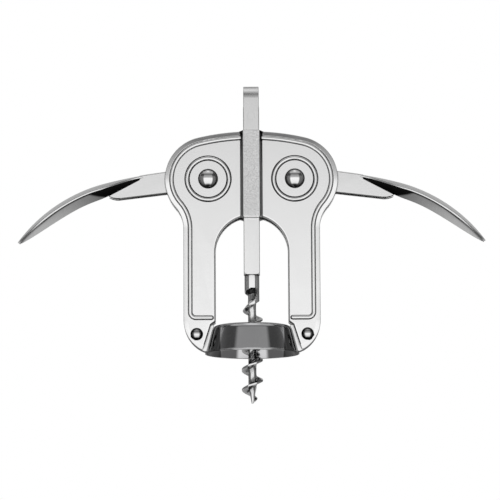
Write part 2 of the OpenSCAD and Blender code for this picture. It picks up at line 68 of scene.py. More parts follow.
# Places that the CAD frame gives.
PIVOT = Vector(next(j["pos_m"] for j in frame["joints"] if j["child"] == "right_lever"))
PLATE_LOW, PLATE_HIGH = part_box("front_plate")
COLLAR_LOW, COLLAR_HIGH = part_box("bottle_collar")
LOOP_LOW, LOOP_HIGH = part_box("hanging_loop")
WORM_LOW, WORM_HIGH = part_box("worm")
BAR_LOW, BAR_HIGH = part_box("rack_bar")
DOME_LOW, DOME_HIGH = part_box("pivot_rivets")
PIN_LOW, PIN_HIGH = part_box("collar_rivets")
RIVET_LOW, RIVET_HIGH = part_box("loop_rivet")

# Plate: outline of arcs and straight lines, in the plane of X and Z.
INNER_Y = -PLATE_HIGH.y
OUTER_Y = INNER_Y + 1.2 * MM
FACE_Y = -PLATE_LOW.y
LOBE_R = PLATE_HIGH.x - PIVOT.x
CROWN_Z = PLATE_HIGH.z
CROWN_H = CROWN_Z - PIVOT.z
CROWN_R = (PIVOT.x**2 + CROWN_H**2 - LOBE_R**2) / (2 * (CROWN_H - LOBE_R))
CROWN_CZ = CROWN_Z - CROWN_R
CROWN_TURN = degrees(atan(PIVOT.x / (PIVOT.z - CROWN_CZ)))
LEG_X = 27.1 * MM
WAIST_R = 13.1 * MM
WAIST_X = LEG_X + WAIST_R
WAIST_Z = PIVOT.z - sqrt((LOBE_R + WAIST_R) ** 2 - (WAIST_X - PIVOT.x) ** 2)
WAIST_TURN = degrees(atan((PIVOT.z - WAIST_Z) / (WAIST_X - PIVOT.x)))
FOOT_R = 13.2 * MM
FOOT_Z = 3.2 * MM
FOOT_CX = LEG_X - FOOT_R
FOOT_LOW = PLATE_LOW.z
WINDOW_R = 14.4 * MM
ARCH_Z = 30.6 * MM
CHANNEL_X = 4.4 * MM
CHANNEL_FACE_X = 3.35 * MM
CHANNEL_ROUND = 0.3 * MM
CHANNEL_LOW = ARCH_Z + sqrt(WINDOW_R**2 - CHANNEL_X**2)
HOLLOW_X = 3.35 * MM
HOLLOW_Y = 5.85 * MM
GUIDE_TOP = CHANNEL_LOW + 3 * MM
# Rim's section, as shares of its width and of its rise.
RIM_CURVE = ((0.03, 0.12), (0.1, 0.22), (0.5, 0.62), (0.85, 0.93), (1, 1))
# Bead: lower edge of its run across a foot, distance of its middle line from that edge and
# from the rim, and gap between its end and the window.
BEAD_Z, BEAD_SET, BEAD_GAP = 3.4 * MM, 0.75 * MM, 1 * MM

# Collar: the bell's side and bore, and the angle where a lug's end leaves the foot's curve.
MOUTH_R = COLLAR_HIGH.y
TOP_R = 15.6 * MM
SIDE_LEAN = (MOUTH_R - TOP_R) / (COLLAR_HIGH.z - COLLAR_LOW.z)
LIP_R = 14.6 * MM
WORM_HOLE_R = 5 * MM
LUG_END = -68.7

# Rivets: radii of their shanks, and the small round on the edge of their heads.
PIVOT_SHANK_R, PIN_SHANK_R = 2.5 * MM, 1.5 * MM
HEAD_EDGE = 0.12 * MM

# Lever: path of the blade's crown, from the end of the neck, in the lever's own frame.
LEVER_Y = 3.1 * MM
NECK_REACH, NECK_RISE, NECK_SLOPE = 24 * MM, 2.3 * MM, radians(8)
ROOT_LEN, ROOT_BEND = 18.85 * MM, radians(8)
BLADE_LEN, BLADE_BEND = 41.4 * MM, radians(37)
PATH_LEN = ROOT_LEN + BLADE_LEN
# Angles round the blade's rim, and how far it bulges out as a share of its sheet.
RIM_TURNS, RIM_BULGE = (20, 45, 90, 135, 160), 0.24
# Faces below the blade beyond this X, or further in than the cheek, are the lever's hollow.
BLADE_FROM_X, CHEEK = 43 * MM, 1.1 * MM

# Gear of a lever, counted in teeth from the one that faces the bar.
GEAR_TIP_R, GEAR_ROOT_R, GEAR_PITCH_R = 15.95 * MM, 13.85 * MM, 15 * MM
TOOTH_TURN = radians(15)
FIRST_TOOTH, LAST_TOOTH = -5, 3
# Half of a tooth: quarter pitches from its middle, and radius.
FLANK = ((0.52, GEAR_TIP_R), (1.12, GEAR_PITCH_R - 0.5 * MM), (1.42, GEAR_ROOT_R))
BORE_R = 3.55 * MM

# Worm: top of its turned part, the height where its blade has run out into the shank, and how
# far below that the blade points along X.
WORM_TOP = BAR_LOW.z - 5 * MM
RUN_OUT_Z = WORM_TOP - 7.6 * MM
BLADE_LEAD = 5.2 * MM
# Height above the run-out where the flute starts to close, and its angle from the blade.
FLUTE_START, FLUTE_MIDDLE = 5.4 * MM, 145
# Core radius in mm at the tip, what it gains in each mm, and the height of the full blade.
TIP_CORE, TIP_TAPER, TIP_RISE = 0.35, 0.2, 5.2
# Half width of the blade's edge in mm, and what it gains where the blade is thick.
LAND, LAND_GAIN = 0.28, 1.3
# Fall from the edge to the core: run in mm, and share of the depth.
FALLS = ((0.85, 0.86), (2.4, 0.14))
# How far below the run-out the blade starts to thicken and its crest to sink, and their runs.
THICKEN_LOW, THICKEN_RUN = 0.6 * MM, 8 * MM
SINK_LOW, SINK_RUN = 3.6 * MM, 4 * MM
# Round end of the flute: radius, and factors on distances across it, above and below it.
SCOOP_R, SCOOP_ACROSS, SCOOP_ABOVE, SCOOP_BELOW = 2 * MM, 2.47, 0.9, 0.35
SPIGOT_R = 2 * MM


# ---- Modelling by hand ----


def fresh():
    """Object mode with nothing selected."""
    if bpy.context.object and bpy.context.object.mode != "OBJECT":
        bpy.ops.object.mode_set(mode="OBJECT")
    bpy.ops.object.select_all(action="DESELECT")


def only(obj):
    """Selects one object and makes it active."""
    fresh()
    obj.select_set(True)
    bpy.context.view_layer.objects.active = obj


def edit_all(obj):
    """Opens an object in edit mode with everything selected."""
    only(obj)
    bpy.ops.object.mode_set(mode="EDIT")
    bpy.ops.mesh.select_all(action="SELECT")


def merge_doubles(threshold=1e-6):
    """In edit mode, makes one point of points in the same place."""
    bpy.ops.mesh.select_all(action="SELECT")
    bpy.ops.mesh.remove_doubles(threshold=threshold)


def face_outwards():
    """In edit mode, turns every face of a closed shell outwards."""
    bpy.ops.mesh.select_all(action="SELECT")
    bpy.ops.mesh.normals_make_consistent(inside=False)


def leave(name):
    """Leaves edit mode and names the object."""
    bpy.ops.object.mode_set(mode="OBJECT")
    obj = bpy.context.object
    obj.name = obj.data.name = name
    return obj


def trace(start, steps):
    """In edit mode, draws a line of straight runs and arcs in the plane of X and Z.
    A run is ("line", (x, z)), and an arc is ("arc", (x, z) of its centre, degrees, steps)."""
    fresh()
    bpy.ops.mesh.primitive_plane_add(size=MM, enter_editmode=True)
    bpy.ops.mesh.select_mode(type="VERT")
    bpy.ops.mesh.select_all(action="SELECT")
    bpy.ops.mesh.merge(type="CENTER")
    bpy.ops.transform.translate(value=start)
    here = Vector(start)
    for kind, place, *turn in steps:
        target = Vector((place[0], here.y, place[1]))
        if kind == "line":
            bpy.ops.mesh.extrude_region_move(TRANSFORM_OT_translate={"value": target - here})
            here = target
        else:
            angle, count = turn
            bpy.ops.mesh.spin(
                steps=count, angle=radians(angle), center=target, axis=(0, 1, 0)
            )
            here = target + Matrix.Rotation(-radians(angle), 3, "Y") @ (here - target)


def fill_outline():
    """Closes the traced outline and fills it with one face."""
    merge_doubles()
    bpy.ops.mesh.edge_face_add()


def prism(name, start, steps, depth):
    """A traced outline, filled and drawn out along +Y."""
    trace(start, steps)
    fill_outline()
    bpy.ops.mesh.extrude_region_move(TRANSFORM_OT_translate={"value": (0, depth, 0)})
    face_outwards()
    return leave(name)


def block(name, low, high):
    """A block between two corners, as a start or a cutter."""
    low, high = Vector(low), Vector(high)
    fresh()
    bpy.ops.mesh.primitive_cube_add(size=1, enter_editmode=True)
    bpy.ops.transform.resize(value=high - low, center_override=(0, 0, 0))
    bpy.ops.transform.translate(value=(low + high) / 2)
    return leave(name)


def rod(name, radius, depth, place=(0, 0, 0), along_y=True, vertices=48):
    """A plain round rod along Y or Z, as a pin or a cutter, with its middle at a place."""
    fresh()
    bpy.ops.mesh.primitive_cylinder_add(
        vertices=vertices, radius=radius, depth=depth, location=place,
        rotation=(pi / 2 if along_y else 0, 0, 0),
    )
    bpy.ops.object.transform_apply()
    return leave(name)


def fill_openings():
    """In edit mode, closes every open edge loop with a face."""
    bpy.ops.mesh.select_mode(type="EDGE")
    bpy.ops.mesh.select_all(action="DESELECT")
    bpy.ops.mesh.select_non_manifold()
    bpy.ops.mesh.fill_holes(sides=0)
    bpy.ops.mesh.select_mode(type="FACE")


def skin(name, rows):
    """A grid laid over rows of points, each row a closed ring, with its two ends filled."""
    around, along = len(rows[0]), len(rows) - 1
    fresh()
    bpy.ops.mesh.primitive_grid_add(
        x_subdivisions=around, y_subdivisions=along, size=1, enter_editmode=True
    )
    bpy.ops.mesh.select_mode(type="VERT")
    mesh = bmesh.from_edit_mesh(bpy.context.object.data)
    for v in mesh.verts:
        column = round((v.co.x + 0.5) * around) % around
        v.co = rows[round((v.co.y + 0.5) * along)][column]
    bmesh.update_edit_mesh(bpy.context.object.data)
    merge_doubles(1e-7)
    fill_openings()
    face_outwards()
    return leave(name)


def pick(test, mode="FACE"):
    """In edit mode, selects the faces or edges whose middle passes the test."""
    bpy.ops.mesh.select_mode(type=mode)
    bpy.ops.mesh.select_all(action="DESELECT")
    mesh = bmesh.from_edit_mesh(bpy.context.object.data)
    for part in mesh.faces if mode == "FACE" else mesh.edges:
        middle = sum((v.co for v in part.verts), Vector()) / len(part.verts)
        part.select_set(bool(test(middle, part)))
    bmesh.update_edit_mesh(bpy.context.object.data)


def apply_modifier(obj, kind, **settings):
    """Adds a modifier with these settings and applies it."""
    only(obj)
    modifier = obj.modifiers.new(kind.title(), kind)
    for key, value in settings.items():
        setattr(modifier, key, value)
    bpy.ops.object.modifier_apply(modifier=modifier.name)


def combine(obj, tool, operation):
    """Cuts obj by a tool, or joins the tool to it, and removes the tool."""
    apply_modifier(obj, "BOOLEAN", operation=operation, object=tool, solver="EXACT")
    bpy.data.objects.remove(tool)
    return obj


def soften(obj, width, segments=2, angle=40):
    """Small rounds on every sharp edge."""
    apply_modifier(
        obj, "BEVEL", width=width, segments=segments, limit_method="ANGLE",
        angle_limit=radians(angle), use_clamp_overlap=False, miter_outer="MITER_ARC",
    )


def soften_some(obj, width, segments, share):
    """Rounds each edge by its own share of the width."""
    only(obj)
    bpy.ops.object.mode_set(mode="EDIT")
    mesh = bmesh.from_edit_mesh(obj.data)
    weights = mesh.edges.layers.float.new("bevel_weight_edge")
    for edge in mesh.edges:
        edge[weights] = share((edge.verts[0].co + edge.verts[1].co) / 2, edge)
    bmesh.update_edit_mesh(obj.data)
    bpy.ops.object.mode_set(mode="OBJECT")
    apply_modifier(obj, "BEVEL", width=width, segments=segments, limit_method="WEIGHT")


def merge_pieces(name, pieces):
    """Joins several shells into one piece."""
    only(pieces[0])
    for piece in pieces[1:]:
        piece.select_set(True)
    bpy.ops.object.join()
    obj = bpy.context.object
    obj.name = obj.data.name = name
    return obj


def copied(obj, name):
    """A copy with its own mesh."""
    only(obj)
    bpy.ops.object.duplicate()
    copy = bpy.context.object
    copy.name = copy.data.name = name
    return copy


def turned(obj, angle, axis):
    """Turns the whole mesh about an axis."""
    edit_all(obj)
    bpy.ops.transform.rotate(value=angle, orient_axis=axis, center_override=(0, 0, 0))
    bpy.ops.object.mode_set(mode="OBJECT")
    return obj


def mirrored(obj, factor):
    """Mirrors the whole mesh, and turns its faces outwards again."""
    edit_all(obj)
    bpy.ops.transform.resize(value=factor, center_override=(0, 0, 0))
    bpy.ops.mesh.flip_normals()
    bpy.ops.object.mode_set(mode="OBJECT")
    return obj


def smooth_faces(obj, angle=38):
    """Smooth shading over shallow edges, with flats kept flat."""
    only(obj)
    bpy.ops.object.shade_smooth_by_angle(angle=radians(angle))
    apply_modifier(obj, "WEIGHTED_NORMAL", keep_sharp=True, weight=80)


def finished(obj, body, slot, material, *nodes):
    """The piece rides on its body, takes a finish and stands for CAD nodes."""
    obj.data.materials.clear()
    obj.data.materials.append(material)
    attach(obj, body)
    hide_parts(*nodes)


def ease(t):
    """From 0 to 1 with level ends."""
    t = min(1, max(0, t))
    return t * t * (3 - 2 * t)


# ---- Finishes ----


# Painted shade that changes over a piece: axis, start, end, tone at the start and at the end.
# The bell's sides are painted dark: a painted dark reflection.
BELL_SIDES = ((1, 0, 0), 12.2 * MM, 12.8 * MM, 1.0, 0.14)
# Each rivet head is painted nearly black round its foot: painted shade.
HEAD_FOOT = ((0, 1, 0), 5.2 * MM, 6.1 * MM, 0.02, 1.0)
# Where the painted hollow shade is darker than 1 / BARE_RANGE of full tone, the metal is also
# rougher, up to BARE_ROUGH.
BARE_RANGE, BARE_ROUGH = 4.0, 0.85
# Colour of worn edges, and the share of their roughness that wear takes away.
WORN_COLOUR, WORN_SMOOTH = (0.97, 0.97, 0.97, 1), 0.4


def link(tree, source, target):
    """Joins two sockets."""
    tree.links.new(source, target)


def add(tree, kind, **settings):
    """A node with its settings; a value given under a socket's name goes on that socket."""
    node = tree.nodes.new(kind)
    for key, value in settings.items():
        if hasattr(node, key):
            setattr(node, key, value)
        else:
            node.inputs[key.replace("_", " ")].default_value = value
    return node


def maths(tree, operation, first, second=0.0):
    """A maths node on values or sockets."""
    node = add(tree, "ShaderNodeMath", operation=operation)
    for socket, value in zip(node.inputs, (first, second)):
        if isinstance(value, (int, float)):
            socket.default_value = value
        else:
            link(tree, value, socket)
    return node.outputs[0]


def new_group(name, inputs, outputs):
    """An empty shader node group with named value inputs and outputs."""
    group = bpy.data.node_groups.new(name, "ShaderNodeTree")
    for label, kind, default in inputs:
        socket = group.interface.new_socket(label, in_out="INPUT", socket_type=kind)
        socket.default_value = default
    for label, kind in outputs:
        group.interface.new_socket(label, in_out="OUTPUT", socket_type=kind)
    return group, group.nodes.new("NodeGroupInput"), group.nodes.new("NodeGroupOutput")


def brushing_group():
    """Fine lines drawn out along one direction, over cloudy plating."""
    group, given, result = new_group(
        "Brushed plating",
        [
            ("Stretch", "NodeSocketVector", (1.0, 1.0, 0.06)),
            ("Line scale", "NodeSocketFloat", 4000.0),
            ("Cloud scale", "NodeSocketFloat", 90.0),
            ("Tone low", "NodeSocketFloat", 0.9),
            ("Tone high", "NodeSocketFloat", 1.0),
            ("Rough low", "NodeSocketFloat", 0.1),
            ("Rough high", "NodeSocketFloat", 0.25),
        ],
        [("Tone", "NodeSocketFloat"), ("Roughness", "NodeSocketFloat"),
         ("Height", "NodeSocketFloat")],
    )
    place = add(group, "ShaderNodeTexCoord").outputs["Object"]
    stretched = add(group, "ShaderNodeVectorMath", operation="MULTIPLY")
    link(group, place, stretched.inputs[0])
    link(group, given.outputs["Stretch"], stretched.inputs[1])
    lines = add(group, "ShaderNodeTexNoise", Detail=3.0, Roughness=0.6)
    link(group, stretched.outputs[0], lines.inputs["Vector"])
    link(group, given.outputs["Line scale"], lines.inputs["Scale"])
    clouds = add(group, "ShaderNodeTexNoise", Detail=4.0, Roughness=0.55)
    link(group, place, clouds.inputs["Vector"])
    link(group, given.outputs["Cloud scale"], clouds.inputs["Scale"])
    mixed = maths(group, "ADD", maths(group, "MULTIPLY", lines.outputs["Fac"], 0.45),
                  maths(group, "MULTIPLY", clouds.outputs["Fac"], 0.55))
    for label, low, high in (("Tone", "Tone low", "Tone high"),
                             ("Roughness", "Rough low", "Rough high")):
        spread = add(group, "ShaderNodeMapRange", From_Min=0.3, From_Max=0.7)
        link(group, mixed, spread.inputs["Value"])
        link(group, given.outputs[low], spread.inputs["To Min"])
        link(group, given.outputs[high], spread.inputs["To Max"])
        link(group, spread.outputs["Result"], result.inputs[label])
    link(group, lines.outputs["Fac"], result.inputs["Height"])


def grain_group():
    """Fine pits of a blasted face, as a height and an uneven tone."""
    group, given, result = new_group(
        "Blasted grain",
        [("Scale", "NodeSocketFloat", 2500.0), ("Speckle", "NodeSocketFloat", 0.5)],
        [("Height", "NodeSocketFloat"), ("Tone", "NodeSocketFloat")],
    )
    place = add(group, "ShaderNodeTexCoord").outputs["Object"]
    noise = add(group, "ShaderNodeTexNoise", Detail=5.0, Roughness=0.7)
    cells = add(group, "ShaderNodeTexVoronoi")
    for node in (noise, cells):
        link(group, place, node.inputs["Vector"])
        link(group, given.outputs["Scale"], node.inputs["Scale"])
    link(group, maths(group, "ADD", noise.outputs["Fac"],
                      maths(group, "MULTIPLY", cells.outputs["Distance"], 0.4)),
         result.inputs["Height"])
    uneven = maths(group, "MULTIPLY", maths(group, "SUBTRACT", noise.outputs["Fac"], 0.5),
                   given.outputs["Speckle"])
    link(group, maths(group, "ADD", uneven, 1.0), result.inputs["Tone"])


def wear_group():
    """Mask of edges that handling has polished, broken up by noise."""
    group, given, result = new_group(
        "Edge wear", [("Amount", "NodeSocketFloat", 0.5)], [("Mask", "NodeSocketFloat")]
    )
    edge = add(group, "ShaderNodeNewGeometry").outputs["Pointiness"]
    place = add(group, "ShaderNodeTexCoord").outputs["Object"]
    noise = add(group, "ShaderNodeTexNoise", Scale=700.0, Detail=3.0)
    link(group, place, noise.inputs["Vector"])
    raised = add(group, "ShaderNodeMapRange", From_Min=0.51, From_Max=0.58)
    link(group, edge, raised.inputs["Value"])
    broken = maths(group, "MULTIPLY", raised.outputs["Result"], noise.outputs["Fac"])
    link(group, maths(group, "MULTIPLY", broken, given.outputs["Amount"]),
         result.inputs["Mask"])


def crevice_shade_group():
    """Painted shade: darkens the colour in narrow creases and in deep hollows, found by ambient
    occlusion.
    """
    group, given, result = new_group(
        "Painted crevice shade",
        [("Crease", "NodeSocketFloat", 0.8 * MM), ("Hollow", "NodeSocketFloat", 7 * MM),
         ("Crease dark", "NodeSocketFloat", 0.1), ("Hollow dark", "NodeSocketFloat", 0.15),
         ("Crease shut", "NodeSocketFloat", 0.4), ("Crease open", "NodeSocketFloat", 0.85),
         ("Hollow shut", "NodeSocketFloat", 0.2), ("Hollow open", "NodeSocketFloat", 0.6)],
        [("Tone", "NodeSocketFloat")],
    )
    shades = []
    for label in ("Crease", "Hollow"):
        near = add(group, "ShaderNodeAmbientOcclusion", samples=8)
        link(group, given.outputs[label], near.inputs["Distance"])
        spread = add(group, "ShaderNodeMapRange", interpolation_type="SMOOTHSTEP")
        link(group, near.outputs["AO"], spread.inputs["Value"])
        link(group, given.outputs[label + " shut"], spread.inputs["From Min"])
        link(group, given.outputs[label + " open"], spread.inputs["From Max"])
        link(group, given.outputs[label + " dark"], spread.inputs["To Min"])
        shades.append(spread.outputs["Result"])
    link(group, maths(group, "MULTIPLY", *shades), result.inputs["Tone"])


def shade_zone_group():
    """Painted shade: a tone that changes over a stretch of one axis, the same on both sides of its
    zero.
    """
    group, given, result = new_group(
        "Painted shade zone",
        [("Axis", "NodeSocketVector", (1, 0, 0)), ("Start", "NodeSocketFloat", 0.0),
         ("End", "NodeSocketFloat", MM), ("Start tone", "NodeSocketFloat", 1.0),
         ("End tone", "NodeSocketFloat", 0.3)],
        [("Tone", "NodeSocketFloat")],
    )
    along = add(group, "ShaderNodeVectorMath", operation="DOT_PRODUCT")
    link(group, add(group, "ShaderNodeTexCoord").outputs["Object"], along.inputs[0])
    link(group, given.outputs["Axis"], along.inputs[1])
    spread = add(group, "ShaderNodeMapRange", interpolation_type="SMOOTHSTEP")
    link(group, maths(group, "ABSOLUTE", along.outputs["Value"]), spread.inputs["Value"])
    for label, socket in (("Start", "From Min"), ("End", "From Max"),
                          ("Start tone", "To Min"), ("End tone", "To Max")):
        link(group, given.outputs[label], spread.inputs[socket])
    link(group, spread.outputs["Result"], result.inputs["Tone"])


def hollow_shade_group():
    """Painted shade on the middle of the blade's underside, blackest beside the neck, gone at the
    nose.
    """
    group, given, result = new_group(
        "Painted hollow shade",
        [("Root", "NodeSocketFloat", 56 * MM), ("Middle", "NodeSocketFloat", 2.9 * MM),
         ("Nose", "NodeSocketFloat", 81 * MM), ("Shaded above", "NodeSocketFloat", 54.5 * MM)],
        [("Tone", "NodeSocketFloat")],
    )
    place = add(group, "ShaderNodeSeparateXYZ")
    link(group, add(group, "ShaderNodeTexCoord").outputs["Object"], place.inputs[0])
    along = maths(group, "ABSOLUTE", place.outputs[0])
    across = maths(group, "ABSOLUTE", place.outputs[1])

    def fade(value, run, low, high):
        """From low to high over a run that starts where the value is 0."""
        spread = add(group, "ShaderNodeMapRange", From_Max=run, To_Min=low, To_Max=high,
                     interpolation_type="SMOOTHSTEP")
        link(group, value, spread.inputs["Value"])
        return spread.outputs["Result"]

    past_root = maths(group, "SUBTRACT", along, given.outputs["Root"])
    narrowing = fade(maths(group, "SUBTRACT", along, given.outputs["Nose"]), 12 * MM, 1.0, 0.0)
    middle = maths(group, "MULTIPLY", given.outputs["Middle"], narrowing)
    high = maths(group, "SUBTRACT", place.outputs[2], given.outputs["Shaded above"])
    root = maths(group, "MULTIPLY", fade(past_root, 1.5 * MM, 0.4, 1.0),
                 fade(high, 0.7 * MM, 1.0, 0.012))
    sides = fade(maths(group, "SUBTRACT", across, middle), 1.8 * MM, 0.04, 1.0)
    sides = maths(group, "MAXIMUM", sides, maths(group, "SUBTRACT", 1.0, narrowing))
    # The painted shade grows lighter further out along the blade.
    lighter = fade(past_root, 30 * MM, 0.5, 1.05)
    tone = maths(group, "MULTIPLY", maths(group, "MULTIPLY", root, sides), lighter)
    link(group, tone, result.inputs["Tone"])


def effect(tree, name, values=None):
    """A shared node group placed in a material with its own values."""
    node = add(tree, "ShaderNodeGroup", node_tree=bpy.data.node_groups[name])
    for label, value in (values or {}).items():
        node.inputs[label].default_value = value
    return node


def metal(name, colour, stretch, rough, tone=(0.94, 1.0), lines=4000.0, relief=0.02, wear=0.6,
          grain=None, crease=0.1, hollow=0.15, crease_size=0.8, crease_span=(0.4, 0.85),
          shade=False, zone=None):
    """A plated metal: brushed lines, cloudy tone, brighter worn edges, and painted shade in
    creases and hollows. Relief and crease_size are in mm, and grain is its scale, its speckle and
    its height."""
    material = bpy.data.materials.new(name)
    material.use_nodes = True
    tree = material.node_tree
    shader = tree.nodes["Principled BSDF"]
    shader.inputs["Metallic"].default_value = 1.0
    brushed = effect(tree, "Brushed plating", {
        "Stretch": stretch, "Line scale": lines, "Tone low": tone[0], "Tone high": tone[1],
        "Rough low": rough[0], "Rough high": rough[1],
    })
    worn = effect(tree, "Edge wear", {"Amount": wear})
    dark = effect(tree, "Painted crevice shade", {
        "Crease": crease_size * MM, "Crease dark": crease, "Hollow dark": hollow,
        "Crease shut": crease_span[0], "Crease open": crease_span[1],
    })
    tinted = add(tree, "ShaderNodeMix", data_type="RGBA", blend_type="MULTIPLY")
    tinted.inputs[0].default_value = 1.0
    tinted.inputs[6].default_value = (*colour, 1)
    # Painted shade: crease, hollow, shade and zone darken the colour; crease and hollow are its
    # darkest tones.
    painted_shade = dark.outputs["Tone"]
    roughness = brushed.outputs["Roughness"]
    if shade:
        dull = effect(tree, "Painted hollow shade").outputs["Tone"]
        painted_shade = maths(tree, "MULTIPLY", painted_shade, dull)
        bare = maths(tree, "SUBTRACT", 1.0, maths(tree, "MULTIPLY", dull, BARE_RANGE))
        roughness = maths(tree, "MAXIMUM", roughness, maths(tree, "MULTIPLY", bare, BARE_ROUGH))
    if zone:
        labels = ("Axis", "Start", "End", "Start tone", "End tone")
        dull = effect(tree, "Painted shade zone", dict(zip(labels, zone))).outputs["Tone"]
        painted_shade = maths(tree, "MULTIPLY", painted_shade, dull)
    rubbed = maths(tree, "MULTIPLY", worn.outputs["Mask"], painted_shade)
    level = maths(tree, "MULTIPLY", brushed.outputs["Tone"], painted_shade)
    height = brushed.outputs["Height"]
    if grain:
        scale, speckle, pit = grain
        pits = effect(tree, "Blasted grain", {"Scale": scale, "Speckle": speckle})
        level = maths(tree, "MULTIPLY", level, pits.outputs["Tone"])
        height = maths(tree, "ADD", height, maths(tree, "MULTIPLY", pits.outputs["Height"], pit))
    link(tree, level, tinted.inputs[7])
    bright = add(tree, "ShaderNodeMix", data_type="RGBA")
    bright.inputs[7].default_value = WORN_COLOUR
    link(tree, rubbed, bright.inputs[0])
    link(tree, tinted.outputs[2], bright.inputs[6])
    link(tree, bright.outputs[2], shader.inputs["Base Color"])
    smoother = maths(tree, "SUBTRACT", 1.0, maths(tree, "MULTIPLY", rubbed, WORN_SMOOTH))
    link(tree, maths(tree, "MULTIPLY", roughness, smoother), shader.inputs["Roughness"])
    bump = add(tree, "ShaderNodeBump", Strength=1.0, Distance=relief * MM)
    link(tree, height, bump.inputs["Height"])
    link(tree, bump.outputs["Normal"], shader.inputs["Normal"])
    return material


def finish(name):
    """The named finish, made the first time it is asked for."""
    if name in bpy.data.materials:
        return bpy.data.materials[name]
    if "Brushed plating" not in bpy.data.node_groups:
        for make in (brushing_group, grain_group, wear_group, crevice_shade_group, shade_zone_group,
                     hollow_shade_group):
            make()
    look = bpy.context.scene.corkscrew_finishes
    recipes = {
        "plated plate": dict(colour=look.plate, stretch=(0.05, 1, 1), rough=(0.14, 0.26),
                             tone=(0.98, 1.0), relief=0.002),
        "blasted channel": dict(colour=look.channel, stretch=(1, 1, 1), rough=(0.42, 0.6),
                                grain=(2100.0, 2.0, 1.0), relief=0.03),
        # The channel's sides take a near-black colour: painted shade.
        "painted shade flank": dict(colour=look.flank, stretch=(1, 1, 0.1), rough=(0.2, 0.34),
                           relief=0.003, wear=0.0),
        "plated lever": dict(colour=look.lever, stretch=(0.1, 1, 1), rough=(0.12, 0.26),
                             relief=0.002, hollow=0.03),
        # The lever's hollow carries painted shade, blackest beside the neck.
        "lever hollow": dict(colour=look.lever, stretch=(1, 0.08, 0.08), rough=(0.14, 0.28),
                             tone=(0.8, 1.0), lines=1500.0, relief=0.002, hollow=0.03,
                             wear=0.0, shade=True),
        "polished bell": dict(colour=look.bell, stretch=(1, 1, 0.2), rough=(0.05, 0.13),
                              tone=(0.92, 1.0), relief=0.001, wear=0.0, zone=BELL_SIDES),
        "polished rivet": dict(colour=look.rivet, stretch=(1, 1, 1), rough=(0.04, 0.12),
                               relief=0.001, wear=0.0, zone=HEAD_FOOT),
        "turned sleeve": dict(colour=look.bar, stretch=(1, 0.1, 1), rough=(0.2, 0.35)),
        "satin bar": dict(colour=look.bar, stretch=(1, 1, 0.05), rough=(0.14, 0.24),
                          relief=0.0005, hollow=0.6),
        # The worm's creases are painted nearly black: painted shade beside its blade.
        "polished worm": dict(colour=look.worm, stretch=(1, 1, 0.3), rough=(0.04, 0.12),
                              relief=0.0005, crease=0.01, crease_size=3.2,
                              crease_span=(0.74, 0.96), hollow=0.4),
        # The flute's upper end takes a near-black colour: painted shade.
        "painted shade flute": dict(colour=look.flute, stretch=(1, 1, 0.3), rough=(0.12, 0.22),
                           relief=0.001, wear=0.0, hollow=0.4),
        "satin loop": dict(colour=look.loop, stretch=(1, 1, 0.05), rough=(0.2, 0.36),
                           relief=0.003),
    }
    return metal(name, **recipes[name])


# ---- Sizes and colours that a user would change ----


def length(name, description, default):
    """A size in metres."""
    return FloatProperty(name=name, description=description, default=default, unit="LENGTH",
                         precision=5, min=0)


def colour(name, description, value):
    """A colour of a metal or of the floor."""
    return FloatVectorProperty(name=name, description=description, default=value, size=3,
                               subtype="COLOR", min=0, max=1)


class CorkscrewPlates(PropertyGroup):
    """Sizes of the two plates."""

    rim_width: length("Rim width", "Width of the sloping rim", 1.9 * MM)
    rim_edge: length("Rim edge", "Thickness of the rim's outer edge", 0.55 * MM)
    bead_width: length("Bead width", "Width of the raised bead", 1.4 * MM)
    bead_height: length("Bead height", "Height of the raised bead", 0.5 * MM)
    crease: length("Crease", "Width of the sunk line on each side of a bead", 0.26 * MM)
    crease_depth: length("Crease depth", "Depth of that line", 0.3 * MM)
    bead_corner: length("Bead corner", "Radius of the bead's corner at each foot", 2.25 * MM)
    ring_radius: length("Ring radius", "Mean radius of the ring round each pivot", 8.35 * MM)
    ring_width: length("Ring width", "Width of the ring's round section", 1.7 * MM)
    ring_depth: length("Ring depth", "Depth of the ring's centre in the plate", 0.45 * MM)
    softness: length("Edge softness", "Rounding of the cut edges", 0.14 * MM)
    window_round: length("Window edge", "Rounding of the window's pressed edge", 0.9 * MM)


class CorkscrewLevers(PropertyGroup):
    """Sizes of the two levers."""

    blade_width: length("Blade width", "Width of the leaf-shaped blade", 22 * MM)
    blade_sag: length("Blade hollow", "Depth of the blade's hollow", 2.7 * MM)
    sheet: length("Sheet", "Thickness of the sheet", 1.2 * MM)
    rim_sheet: length("Rim sheet", "Thickness of the sheet at the blade's rim", 0.9 * MM)
    widen: length("Widening", "Length over which the blade widens", 24 * MM)
    nose: length("Nose", "Length of the rounded nose", 27 * MM)
    fold: length("Fold", "Rounding of the neck's folds", 0.7 * MM)


class CorkscrewCollar(PropertyGroup):
    """Sizes of the bell-shaped collar."""

    shoulder: length("Shoulder", "Radius of the bell's upper shoulder", 2.8 * MM)
    rim: length("Rim", "Height of the upright rim round the mouth", 0.55 * MM)
    top: length("Top", "Thickness of the bell's top", 1.3 * MM)
    wall: length("Wall", "Wall of the bell at its mouth", 0.9 * MM)
    lip: length("Lip", "Length of the straight part inside", 3.5 * MM)


class CorkscrewWorm(PropertyGroup):
    """Sizes of the worm."""

    shank: length("Shank", "Radius of the shank", 2.95 * MM)
    blade: length("Blade", "Outer radius of the blade", 4.2 * MM)
    core: length("Core", "Radius of the core", 1.6 * MM)
    pitch: length("Pitch", "Advance in one turn", 8.05 * MM)


